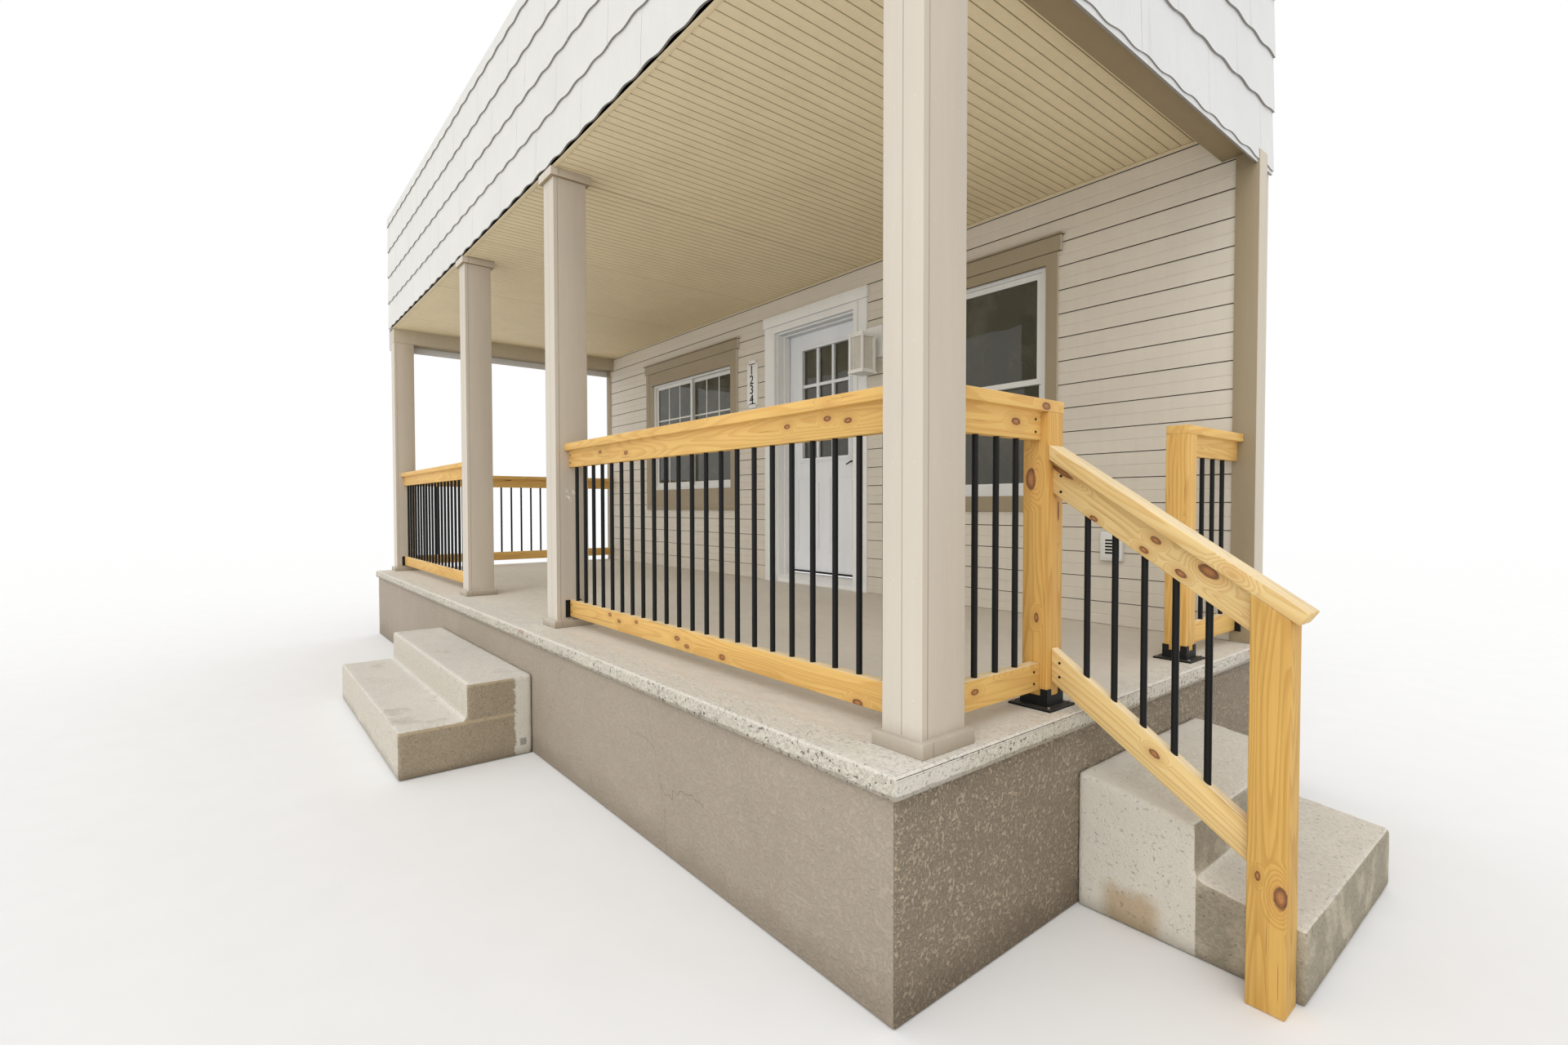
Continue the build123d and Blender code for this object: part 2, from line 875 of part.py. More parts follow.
window_left_trim = window_trim(*slider, slider_trim, band=trim_band)
save(window_left_trim, "window_left_trim")
window_left_frame = window_unit(*slider, True)
save(window_left_frame, "window_left_frame")
window_left_glass = window_panes(*slider, True)
save(window_left_glass, "window_left_glass")
window_right_trim = window_trim(*sash, sash_trim)
save(window_right_trim, "window_right_trim")
window_right_frame = window_unit(*sash, False)
save(window_right_frame, "window_right_frame")
window_right_glass = window_panes(*sash, False)
save(window_right_glass, "window_right_glass")

# wall lantern
x_lantern = x_mould_right + casing_width + lantern_gap + lantern_block_width / 2
z_lantern_block = z_casing_top - lantern_drop - lantern_block_height
y_block_face = y_wall - lantern_block_thickness
y_lantern = y_block_face - lantern_arm - lantern_side / 2
z_lantern = z_lantern_block - lantern_hang + lantern_cap
with BuildPart() as lantern_block:
    with BuildSketch(level(z_lantern_block)):
        plan(
            x_lantern - lantern_block_width / 2,
            x_lantern + lantern_block_width / 2,
            y_block_face,
            y_wall,
        )
    extrude(amount=lantern_block_height)
save(lantern_block, "lantern_block")

with BuildPart() as wall_lantern:
    with BuildSketch(level(z_lantern)):
        with Locations((x_lantern, y_lantern)):
            Rectangle(lantern_side, lantern_side)
    extrude(amount=lantern_height)
    with BuildSketch(level(z_lantern - lantern_cap), level(z_lantern + lantern_height)):
        with Locations((x_lantern, y_lantern)):
            Rectangle(lantern_side + lantern_bar, lantern_side + lantern_bar)
    extrude(amount=lantern_cap)
    with BuildSketch(level(z_lantern)):
        with Locations((x_lantern, y_lantern)):
            Rectangle(lantern_side - 2 * lantern_bar, lantern_side - 2 * lantern_bar)
    extrude(amount=lantern_height, mode=Mode.SUBTRACT)
    with BuildSketch(front_view(y_lantern + lantern_side)):
        with Locations((x_lantern, z_lantern + lantern_height / 2)):
            Rectangle(lantern_side - 2 * lantern_bar, lantern_height - 2 * lantern_bar)
    extrude(amount=2 * lantern_side, mode=Mode.SUBTRACT)
    with BuildSketch(side_view(x_lantern - lantern_side)):
        with Locations((y_lantern, z_lantern + lantern_height / 2)):
            Rectangle(lantern_side - 2 * lantern_bar, lantern_height - 2 * lantern_bar)
    extrude(amount=2 * lantern_side, mode=Mode.SUBTRACT)
    with BuildSketch(level(z_lantern + lantern_height - lantern_bar)):
        plan(
            x_lantern - lantern_arm / 2,
            x_lantern + lantern_arm / 2,
            y_lantern + lantern_side / 2,
            y_block_face,
        )
    extrude(amount=lantern_bar + lantern_cap)
save(wall_lantern, "wall_lantern")

with BuildPart() as lantern_glass_box:
    lantern_inner = lantern_side - 2 * lantern_bar
    with BuildSketch(level(z_lantern)):
        with Locations((x_lantern, y_lantern)):
            Rectangle(lantern_inner, lantern_inner)
            Rectangle(
                lantern_inner - 2 * lantern_glass,
                lantern_inner - 2 * lantern_glass,
                mode=Mode.SUBTRACT,
            )
    extrude(amount=lantern_height)
save(lantern_glass_box, "lantern_glass")


# railings
def bay_plane(start, along_x):
    """Section plane of a rail bay, facing along it, with sketch Y up.

    Args:
        start: (x, y) where the bay starts on its centre line.
        along_x: whether the bay runs along X, otherwise along Y.
    """
    if along_x:
        return Plane(origin=(*start, 0), x_dir=(0, 1, 0), z_dir=(1, 0, 0))
    return Plane(origin=(*start, 0), x_dir=(-1, 0, 0), z_dir=(0, 1, 0))


def rail_bay(start, length, along_x, before=0.0, after=0.0):
    """Cap on a top rail, and a bottom rail, between two faces.

    Args:
        start: (x, y) of the bay's start.
        length: clear length between the two faces.
        along_x: whether the bay runs along X, otherwise along Y.
        before, after: how far the cap runs on past each end.

    Returns:
        The BuildPart that holds the rails.
    """
    section = bay_plane(start, along_x)
    with BuildPart() as rails:
        with BuildSketch(section.offset(-before)):
            with Locations((0, z_cap + rail_thickness / 2)):
                Rectangle(rail_depth, rail_thickness)
        extrude(amount=length + before + after)
        with BuildSketch(section):
            with Locations(
                (0, z_top_rail + rail_depth / 2),
                (0, z_low_rail + rail_depth / 2),
            ):
                Rectangle(rail_thickness, rail_depth)
        extrude(amount=length)
    return rails


def even_row(length):
    """Distance to the first bar and pitch of bars spaced evenly along a bay."""
    pitch = length / round(length / baluster_pitch)
    return pitch, pitch


def bay_balusters(start, length, along_x, row=None):
    """Round balusters between the rails of a bay, as many as fit before its end.

    Args:
        start: (x, y) of the bay's start.
        length: clear length between the two faces.
        along_x: whether the bay runs along X, otherwise along Y.
        row: distance to the first bar and pitch, None for an even row.

    Returns:
        The BuildPart that holds the balusters.
    """
    first, pitch = row or even_row(length)
    gaps = math.floor((length - first - baluster_end_gap) / pitch)
    centre = first + pitch * gaps / 2
    middle = (start[0] + centre, start[1]) if along_x else (start[0], start[1] + centre)
    with BuildPart() as bars:
        with BuildSketch(level(z_low_rail_top)):
            with Locations(middle):
                if along_x:
                    with GridLocations(pitch, 0, gaps + 1, 1):
                        Circle(baluster_diameter / 2)
                else:
                    with GridLocations(0, pitch, 1, gaps + 1):
                        Circle(baluster_diameter / 2)
        extrude(amount=z_top_rail - z_low_rail_top)
    return bars


half_column = column_width / 2
bay_right = ((x_stair_right + half_column, y_column), right_bay, True)
bay_left = (
    (x_far_left + half_column, y_column),
    x_stair_left - x_far_left - column_width,
    True,
)
bay_side_left = ((x_far_left, y_column_back), y_board - y_column_back, False)
bay_side_front = ((x_corner, y_column_back), y_post_front - y_column_back, False)
y_post_rear_back = y_post_rear + post_size
bay_side_rear = ((x_corner, y_post_rear_back), y_board - y_post_rear_back, False)

railing_front_right = rail_bay(*bay_right)
save(railing_front_right, "railing_front_right")
balusters_front_right = bay_balusters(*bay_right, row=right_bay_row)
save(balusters_front_right, "balusters_front_right")
railing_front_left = rail_bay(*bay_left)
save(railing_front_left, "railing_front_left")
balusters_front_left = bay_balusters(*bay_left)
save(balusters_front_left, "balusters_front_left")
railing_side_left = rail_bay(*bay_side_left)
save(railing_side_left, "railing_side_left")
balusters_side_left = bay_balusters(*bay_side_left)
save(balusters_side_left, "balusters_side_left")
railing_side_front = rail_bay(*bay_side_front, after=post_size + cap_overrun)
save(railing_side_front, "railing_side_front")
balusters_side_front = bay_balusters(*bay_side_front, row=side_front_row)
save(balusters_side_front, "balusters_side_front")
railing_side_rear = rail_bay(*bay_side_rear, before=post_size)
save(railing_side_rear, "railing_side_rear")
balusters_side_rear = bay_balusters(*bay_side_rear, row=side_rear_row)
save(balusters_side_rear, "balusters_side_rear")

# U-shaped flanges that hold the bottom rails to the columns and the corner boards.
with BuildPart() as rail_brackets:
    for (start, length, along_x), near, far in (
        (bay_right, True, True),
        (bay_left, True, True),
        (bay_side_left, True, True),
        (bay_side_front, True, False),
        (bay_side_rear, False, True),
    ):
        for distance in [0.0] * near + [length - bracket_thickness] * far:
            with BuildSketch(bay_plane(start, along_x).offset(distance)):
                with Locations((0, z_low_rail + (rail_depth - bracket_lip) / 2)):
                    Rectangle(bracket_width, rail_depth + bracket_lip)
                with Locations((0, z_low_rail + rail_depth / 2)):
                    Rectangle(rail_thickness, rail_depth, mode=Mode.SUBTRACT)
            extrude(amount=bracket_thickness)
save(rail_brackets, "rail_brackets")


def rail_post(y_front):
    """Square timber post on its cast base, under the rail cap.

    Args:
        y_front: Y of the post's front face.

    Returns:
        The BuildPart that holds the post.
    """
    with BuildPart() as post:
        with BuildSketch(level(z_deck + post_standoff)):
            with Locations((x_corner, y_front + post_size / 2)):
                Rectangle(post_size, post_size)
        extrude(amount=z_cap - z_deck - post_standoff)
    return post


def post_base(y_front):
    """Cast base: a plate, a raised seat, a collar round the post and a lug up each corner.

    Args:
        y_front: Y of the post's front face.

    Returns:
        The BuildPart that holds the base.
    """
    centre = (x_corner, y_front + post_size / 2)
    with BuildPart() as base:
        with BuildSketch(level(z_deck)):
            with Locations(centre):
                Rectangle(post_base_size, post_base_size)
        extrude(amount=post_base_plate)
        chamfer(base.faces().sort_by(Axis.Z)[-1].edges(), post_base_plate / 4)
        outer = post_size + 2 * post_base_wall
        between_lugs = outer - 2 * post_base_lug
        with BuildSketch(level(z_deck)):
            with Locations(centre):
                Rectangle(outer, outer)
        extrude(amount=post_base_collar)
        with BuildSketch(level(z_deck)):
            with Locations(centre):
                Rectangle(outer, outer)
                Rectangle(outer, between_lugs, mode=Mode.SUBTRACT)
                Rectangle(between_lugs, outer, mode=Mode.SUBTRACT)
        extrude(amount=post_base_height)
        with BuildSketch(level(z_deck + post_standoff)):
            with Locations(centre):
                Rectangle(post_size, post_size)
        extrude(amount=post_base_height, mode=Mode.SUBTRACT)
    return base


post_front = rail_post(y_post_front)
save(post_front, "post_front")
post_rear = rail_post(y_post_rear)
save(post_rear, "post_rear")
post_base_front = post_base(y_post_front)
save(post_base_front, "post_base_front")
post_base_rear = post_base(y_post_rear)
save(post_base_rear, "post_base_rear")

# stair rail
x_post_face = x_corner + post_size / 2
x_newel_face = x_newel - post_size / 2
x_cap_end = x_newel + post_size / 2 + stair_cap_overrun
y_stair = y_post_front + post_size / 2
cap_drop = rail_thickness / slope_cosine
rail_drop = rail_depth / slope_cosine
z_stair_cap = z_deck + stair_cap_top
z_stair_low = z_deck + stair_bottom_rail_top


def raking(z_start, drop, x_end, square=False):
    """Corners of a raking member's side outline, from the post's face down to x_end.

    Args:
        z_start: height of its upper edge at the post.
        drop: its upright depth.
        x_end: where its upper edge ends.
        square: whether its lower end is cut square to its length, otherwise upright.

    Returns:
        The four corners, in order.
    """
    x_under = x_end - drop * slope_cosine**2 * slope if square else x_end
    return [
        (x_post_face, z_start),
        (x_end, z_start - (x_end - x_post_face) * slope),
        (x_under, z_start - (x_under - x_post_face) * slope - drop),
        (x_post_face, z_start - drop),
    ]


with BuildPart() as stair_rail:
    with BuildSketch(front_view(y_stair)):
        with BuildLine():
            Polyline(*raking(z_stair_cap, cap_drop, x_cap_end, square=True), close=True)
        make_face()
    extrude(amount=rail_depth / 2, both=True)
    with BuildSketch(front_view(y_stair)):
        with BuildLine():
            Polyline(*raking(z_stair_cap - cap_drop, rail_drop, x_newel_face), close=True)
        make_face()
    extrude(amount=rail_thickness / 2, both=True)
    with BuildSketch(front_view(y_stair)):
        with BuildLine():
            Polyline(*raking(z_stair_low, rail_drop, x_newel_face), close=True)
        make_face()
    extrude(amount=rail_thickness / 2, both=True)
save(stair_rail, "stair_rail")

with BuildPart() as stair_balusters:
    with BuildSketch(level(0)):
        with Locations(((x_post_face + x_newel_face) / 2, y_stair)):
            with GridLocations(stair_baluster_pitch, 0, stair_baluster_count, 1):
                Circle(baluster_diameter / 2)
    extrude(amount=z_cap)
    with BuildSketch(front_view(y_stair)):
        z_rake_top = z_stair_cap - cap_drop - rail_drop
        with BuildLine():
            Polyline(*raking(z_rake_top, z_rake_top - z_stair_low, x_newel_face), close=True)
        make_face()
    extrude(amount=baluster_diameter, both=True, mode=Mode.INTERSECT)
save(stair_balusters, "stair_balusters")

with BuildPart() as newel_post:
    with BuildSketch(front_view(y_stair)):
        fall_near = (x_newel_face - x_post_face) * slope
        fall_far = fall_near + post_size * slope
        with BuildLine():
            Polyline(
                (x_newel_face, 0),
                (x_newel_face + post_size, 0),
                (x_newel_face + post_size, z_stair_cap - cap_drop - fall_far),
                (x_newel_face, z_stair_cap - cap_drop - fall_near),
                close=True,
            )
        make_face()
    extrude(amount=post_size / 2, both=True)
save(newel_post, "newel_post")
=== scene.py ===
"""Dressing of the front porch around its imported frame. Metres, +X right, +Y into the house, +Z up."""

import bpy
import json
import logging
import math
from collections.abc import Callable
from dataclasses import dataclass
from enum import Enum
from mathutils import Matrix, Vector, noise

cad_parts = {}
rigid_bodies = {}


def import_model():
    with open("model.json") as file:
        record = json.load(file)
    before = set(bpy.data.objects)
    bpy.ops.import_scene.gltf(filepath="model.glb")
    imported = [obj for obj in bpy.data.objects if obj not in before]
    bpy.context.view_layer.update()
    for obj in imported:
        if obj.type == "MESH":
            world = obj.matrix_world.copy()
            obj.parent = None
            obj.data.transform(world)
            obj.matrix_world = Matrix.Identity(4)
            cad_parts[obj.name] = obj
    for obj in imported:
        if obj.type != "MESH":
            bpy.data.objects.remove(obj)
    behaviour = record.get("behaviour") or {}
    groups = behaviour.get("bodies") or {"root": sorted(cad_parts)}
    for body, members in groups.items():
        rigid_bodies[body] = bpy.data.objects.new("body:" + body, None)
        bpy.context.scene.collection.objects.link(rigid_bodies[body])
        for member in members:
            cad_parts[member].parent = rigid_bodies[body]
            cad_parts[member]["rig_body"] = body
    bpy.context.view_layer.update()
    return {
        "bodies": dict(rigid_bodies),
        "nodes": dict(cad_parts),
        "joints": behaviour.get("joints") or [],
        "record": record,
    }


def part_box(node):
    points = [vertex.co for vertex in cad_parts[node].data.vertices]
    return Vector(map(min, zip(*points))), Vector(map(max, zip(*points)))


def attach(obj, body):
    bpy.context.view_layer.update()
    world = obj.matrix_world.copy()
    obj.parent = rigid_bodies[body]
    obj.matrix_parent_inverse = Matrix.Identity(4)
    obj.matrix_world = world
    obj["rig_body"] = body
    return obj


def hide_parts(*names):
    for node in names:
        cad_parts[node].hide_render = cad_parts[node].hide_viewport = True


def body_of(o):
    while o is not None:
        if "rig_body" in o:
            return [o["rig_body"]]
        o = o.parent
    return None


log = logging.getLogger("porch")

Colour = tuple[float, float, float, float]
Point = tuple[float, float, float]
Span = tuple[float, float, float, float]
Knots = tuple[Span, ...]
Socket = bpy.types.NodeSocket
Node = bpy.types.Node
Material = bpy.types.Material
Piece = bpy.types.Object

QUARTER = math.pi / 2
MERGE = 0.00002
CLOSE = 0.0001

# Knots that stand out on the timber: x, y, z and radius.
KNOTS_FRONT: Knots = (
    (1.149, -0.848, 0.764, 0.010),
    (1.247, -0.848, 0.744, 0.010),
    (1.422, -0.848, 0.763, 0.009),
    (1.786, -0.848, 0.742, 0.012),
    (1.863, -0.848, 0.720, 0.010),
    (2.118, -0.848, 0.719, 0.012),
    (2.839, -0.848, 0.703, 0.012),
    (2.736, -0.860, 1.607, 0.013),
    (2.706, -0.848, 1.563, 0.010),
    (2.797, -0.848, 1.549, 0.010),
    (2.510, -0.848, 1.555, 0.009),
    (1.33, -0.848, 1.540, 0.011),
    (1.05, -0.848, 1.560, 0.009),
    (3.06, -0.3, 1.605, 0.014),
)
KNOTS_SIDE: Knots = (
    (3.093, -0.621, 0.749, 0.010),
    (3.093, -0.42, 1.55, 0.013),
    (3.115, -0.29, 1.605, 0.014),
)
KNOTS_RAKE: Knots = (
    (3.254, -0.251, 1.252, 0.008),
    (3.404, -0.251, 1.163, 0.009),
    (3.436, -0.251, 1.192, 0.010),
    (3.504, -0.251, 1.102, 0.010),
    (3.574, -0.251, 1.113, 0.017),
    (3.642, -0.262, 1.116, 0.016),
    (3.438, -0.251, 0.580, 0.010),
)
KNOTS_POST: Knots = (
    (3.057, -0.2765, 1.377, 0.020),
    (3.09, 0.758, 1.332, 0.012),
    (3.08, -0.2765, 0.93, 0.009),
)
KNOTS_NEWEL: Knots = ((3.705, -0.2765, 0.345, 0.007), (3.755, -0.2765, 0.308, 0.017))


class Grain(Enum):
    """Which way a timber's fibres run."""

    ALONG = "x"
    INWARD = "y"
    UPRIGHT = "z"
    RAKING = "rake"


class Effect(Enum):
    """Shader groups that several finishes share."""

    RINGS = "growth rings"
    KNOT = "knot distance"
    STONES = "aggregate stones"
    GRIME = "grime clouds"
    BRUSH = "brush marks"
    EDGE_BAND = "soft band"


class Tree:
    """Node tree under construction, with short calls for the nodes that it is made of."""

    facing_low = 0.5
    facing_high = 0.7

    def __init__(self, tree: bpy.types.NodeTree) -> None:
        """Start from an empty tree."""
        self.tree = tree
        tree.nodes.clear()

    def feed(self, socket: Socket, value: object) -> None:
        """Link an output to a socket, or set the socket's own value."""
        if isinstance(value, bpy.types.NodeSocket):
            self.tree.links.new(value, socket)
        else:
            socket.default_value = value

    def add(self, kind: str, feeds: dict | None = None, **settings: object) -> Node:
        """Add a node.

        Args:
            kind: the node's type.
            feeds: values or sockets for its inputs, by name or place.
            settings: its properties.

        Returns:
            The node.
        """
        node = self.tree.nodes.new(kind)
        for name, value in settings.items():
            setattr(node, name, value)
        for name, value in (feeds or {}).items():
            self.feed(node.inputs[name], value)
        return node

    def coords(self) -> Socket:
        """Object coordinates, which are the porch's own metres."""
        return self.add("ShaderNodeTexCoord").outputs["Object"]

    def normal(self) -> Socket:
        """Direction that the surface faces, in the porch's frame."""
        return self.add("ShaderNodeTexCoord").outputs["Normal"]

    def split(self, vector: Socket) -> list[Socket]:
        """The three parts of a vector."""
        return list(self.add("ShaderNodeSeparateXYZ", {0: vector}).outputs)

    def join(self, x: object, y: object, z: object) -> Socket:
        """A vector from three parts."""
        return self.add("ShaderNodeCombineXYZ", {0: x, 1: y, 2: z}).outputs[0]

    def vector(self, operation: str, feeds: dict) -> Socket:
        """Vector that a vector math node gives."""
        return self.add("ShaderNodeVectorMath", feeds, operation=operation).outputs[0]

    def length(self, vector: Socket) -> Socket:
        """Length of a vector."""
        return self.add("ShaderNodeVectorMath", {0: vector}, operation="LENGTH").outputs["Value"]

    def mapped(
        self, vector: Socket, scale: Point = (1, 1, 1), move: Point = (0, 0, 0), turn: Point = (0, 0, 0)
    ) -> Socket:
        """A vector scaled, then turned, then moved."""
        feeds = {"Vector": vector, "Scale": scale, "Location": move, "Rotation": turn}
        return self.add("ShaderNodeMapping", feeds).outputs[0]

    def noise(
        self, vector: object, scale: object, detail: float = 3.0, rough: float = 0.5, warp: float = 0.0
    ) -> Socket:
        """Noise value from 0 to 1."""
        feeds = {"Vector": vector, "Scale": scale, "Detail": detail}
        feeds |= {"Roughness": rough, "Distortion": warp}
        return self.add("ShaderNodeTexNoise", feeds).outputs[0]

    def drawn(self, vector: Socket, stretch: Point, detail: float = 3.0, rough: float = 0.5) -> Socket:
        """Noise stretched along an axis, by its cells per metre on each."""
        return self.noise(self.mapped(vector, stretch), 1.0, detail, rough)

    def cells(self, vector: object, scale: object, feature: str = "F1") -> Node:
        """Voronoi cells, whose outputs are Distance, Color and Position."""
        return self.add("ShaderNodeTexVoronoi", {"Vector": vector, "Scale": scale}, feature=feature)

    def maths(self, operation: str, a: object, b: object = 0.0, c: object = 0.0) -> Socket:
        """Result of a math node."""
        return self.add("ShaderNodeMath", {0: a, 1: b, 2: c}, operation=operation).outputs[0]

    def times(self, a: object, b: object) -> Socket:
        """Two values multiplied."""
        return self.maths("MULTIPLY", a, b)

    def plus(self, a: object, b: object) -> Socket:
        """Two values added."""
        return self.maths("ADD", a, b)

    def less(self, a: object, b: object) -> Socket:
        """A value with another taken away."""
        return self.maths("SUBTRACT", a, b)

    def rest(self, value: object) -> Socket:
        """What a value leaves of 1."""
        return self.less(1.0, value)

    def size(self, value: object) -> Socket:
        """A value without its sign."""
        return self.maths("ABSOLUTE", value)

    def step(self, value: object, low: object, high: object) -> Socket:
        """Smooth rise from 0 at low to 1 at high."""
        feeds = {"Value": value, "From Min": low, "From Max": high}
        return self.add("ShaderNodeMapRange", feeds, interpolation_type="SMOOTHSTEP").outputs[0]

    def scaled(self, value: object, low: float, high: float) -> Socket:
        """A 0 to 1 value spread between two others."""
        feeds = {"Value": value, "To Min": low, "To Max": high}
        return self.add("ShaderNodeMapRange", feeds).outputs[0]

    def mix(self, share: object, a: object, b: object, mode: str = "MIX") -> Socket:
        """Two colours mixed."""
        node = self.add("ShaderNodeMix", data_type="RGBA", blend_type=mode)
        for place, value in ((0, share), (6, a), (7, b)):
            self.feed(node.inputs[place], value)
        return node.outputs[2]

    def over(self, mask: object, share: object, base: object, colour: object) -> Socket:
        """A colour laid over another where a mask has it, at a share of its strength."""
        return self.mix(self.times(mask, share), base, colour)

    def mix_part(self, share: object, a: object, b: object) -> Socket:
        """Two numbers mixed."""
        return self.maths("MULTIPLY_ADD", share, self.less(b, a), a)

    def tint(self, colour: object, value: object) -> Socket:
        """A colour made brighter or darker by a factor."""
        grey = self.join(value, value, value)
        return self.mix(1.0, colour, grey, "MULTIPLY")

    def vary(self, colour: object, value: object, low: float, high: float) -> Socket:
        """A colour made brighter or darker between two factors by a 0 to 1 value."""
        return self.tint(colour, self.scaled(value, low, high))

    def bump(self, height: object, distance: float, strength: object = 1.0, under: object = None) -> Socket:
        """Normal of a bumpy surface.

        Args:
            height: 0 to 1 height.
            distance: how far 1 stands out, in metres.
            strength: share of the effect.
            under: normal of a coarser bump below.

        Returns:
            The normal.
        """
        node = self.add("ShaderNodeBump", {"Height": height, "Strength": strength, "Distance": distance})
        if under is not None:
            self.feed(node.inputs["Normal"], under)
        return node.outputs[0]

    def facing(self, part: object) -> Socket:
        """1 where a part of the normal says that the surface looks that way."""
        return self.step(part, self.facing_low, self.facing_high)

    def near(self, part: object, place: float, half: float, soft: float) -> Socket:
        """1 within half of a place along one axis, 0 beyond half + soft."""
        away = self.size(self.less(part, place))
        return self.rest(self.step(away, half, half + soft))

    def effect(self, kind: Effect, feeds: dict) -> Node:
        """Place a shared group in this tree."""
        return self.add("ShaderNodeGroup", feeds, node_tree=EffectShelf.get(kind))

    def band(self, place: Socket, value: Socket, low: float, high: float, waver: float) -> Socket:
        """1 where a value lies between two limits, whose edges waver."""
        feeds = {"Vector": place, "Value": value, "Low": low, "High": high, "Waver": waver}
        return self.effect(Effect.EDGE_BAND, feeds).outputs[0]

    def seen(self) -> Socket:
        """1 for rays from the camera, and those that gloss or glass passes on."""
        rays = self.add("ShaderNodeLightPath").outputs
        passed = self.maths("MAXIMUM", rays["Is Glossy Ray"], rays["Is Transmission Ray"])
        return self.maths("MAXIMUM", rays["Is Camera Ray"], passed)


class EffectShelf:
    """The shared shader groups, each built once."""

    built: dict[Effect, bpy.types.NodeTree] = {}
    ring_stretch: Point = (0.75, 8.5, 8.5)
    fibre_stretch: Point = (7.0, 420.0, 420.0)
    ring_tone: Point = (1.6, 9.0, 9.0)
    knot_squeeze: Point = (0.62, 1.25, 1.25)
    streak_stretch: Point = (26.0, 26.0, 1.6)
    stroke_stretch: Point = (190.0, 190.0, 5.0)
    paint_tone: Point = (4.0, 4.0, 1.2)
    stone_warp = 0.004
    stone_warp_scale = 160.0

    @classmethod
    def get(cls, kind: Effect) -> bpy.types.NodeTree:
        """The group for an effect, built on first use."""
        if kind not in cls.built:
            cls.built[kind] = getattr(cls, "make_" + kind.name.lower())()
        return cls.built[kind]

    @staticmethod
    def start(kind: Effect, inputs: dict[str, object], outputs: list[str]) -> tuple[Tree, list[Socket], Node]:
        """Open a new group.

        Args:
            kind: the effect.
            inputs: names and default values, None for a vector.
            outputs: names of its values.

        Returns:
            The tree, its inputs' sockets by name, and its output node.
        """
        group = bpy.data.node_groups.new(kind.value, "ShaderNodeTree")
        for name, value in inputs.items():
            socket = "NodeSocketVector" if value is None else "NodeSocketFloat"
            made = group.interface.new_socket(name, in_out="INPUT", socket_type=socket)
            if value is not None:
                made.default_value = value
        for name in outputs:
            group.interface.new_socket(name, in_out="OUTPUT", socket_type="NodeSocketFloat")
        tree = Tree(group)
        return tree, tree.add("NodeGroupInput").outputs, tree.add("NodeGroupOutput")

    @staticmethod
    def close(tree: Tree, result: Node, values: dict[str, Socket]) -> bpy.types.NodeTree:
        """Feed a group's outputs and give the finished group."""
        for name, value in values.items():
            tree.feed(result.inputs[name], value)
        return tree.tree

    @classmethod
    def make_rings(cls) -> bpy.types.NodeTree:
        """Growth rings cut lengthwise, with X along the fibres, bent round knots."""
        inputs = {"Vector": None, "Knot": 9.0, "Lines": 11.0}
        tree, given, result = cls.start(Effect.RINGS, inputs, ["Late", "Fibre", "Tone"])
        vector = given["Vector"]
        long_form = tree.drawn(vector, cls.ring_stretch, 2.0, 0.4)
        push = tree.times(tree.rest(tree.step(given["Knot"], 0.3, 3.6)), 0.3)
        saw = tree.maths("FRACT", tree.times(tree.plus(long_form, push), given["Lines"]))
        late = tree.times(tree.step(saw, 0.3, 0.86), tree.rest(tree.step(saw, 0.9, 1.0)))
        fibre = tree.drawn(vector, cls.fibre_stretch, 2.0)
        tone = tree.drawn(vector, cls.ring_tone, 2.0)
        return cls.close(tree, result, {"Late": late, "Fibre": fibre, "Tone": tone})

    @classmethod
    def make_knot(cls) -> bpy.types.NodeTree:
        """Distance from a knot's heart, 1 at its rim, squeezed along the fibres."""
        inputs = {"Vector": None, "Heart": None, "Radius": 0.016}
        tree, given, result = cls.start(Effect.KNOT, inputs, ["Distance"])
        gap = tree.vector("SUBTRACT", {0: given["Vector"], 1: given["Heart"]})
        away = tree.maths("DIVIDE", tree.length(tree.mapped(gap, cls.knot_squeeze)), given["Radius"])
        wobble = tree.scaled(tree.noise(given["Vector"], 45.0, 2.0), -0.2, 0.2)
        return cls.close(tree, result, {"Distance": tree.plus(away, wobble)})

    @classmethod
    def make_stones(cls) -> bpy.types.NodeTree:
        """Small stones in a worn cement face: their tone, the dark pits and the height."""
        inputs = {"Vector": None, "Size": 0.006, "Pits": 0.5}
        tree, given, result = cls.start(Effect.STONES, inputs, ["Tone", "Pit", "Height"])
        vector = given["Vector"]
        scale = tree.maths("DIVIDE", 1.0, given["Size"])
        stirred = tree.add("ShaderNodeTexNoise", {"Vector": vector, "Scale": cls.stone_warp_scale})
        push = tree.vector("SCALE", {0: stirred.outputs[1], 3: cls.stone_warp})
        stones = tree.cells(tree.vector("ADD", {0: vector, 1: push}), scale).outputs
        tone = tree.split(stones["Color"])[0]
        holes = tree.noise(vector, tree.times(scale, 0.55), 3.0, 0.6)
        level = tree.scaled(given["Pits"], 0.75, 0.56)
        pit = tree.step(holes, level, tree.plus(level, 0.06))
        dome = tree.rest(stones["Distance"])
        height = tree.less(tree.times(dome, 0.5), tree.times(pit, 0.9))
        return cls.close(tree, result, {"Tone": tone, "Pit": pit, "Height": height})

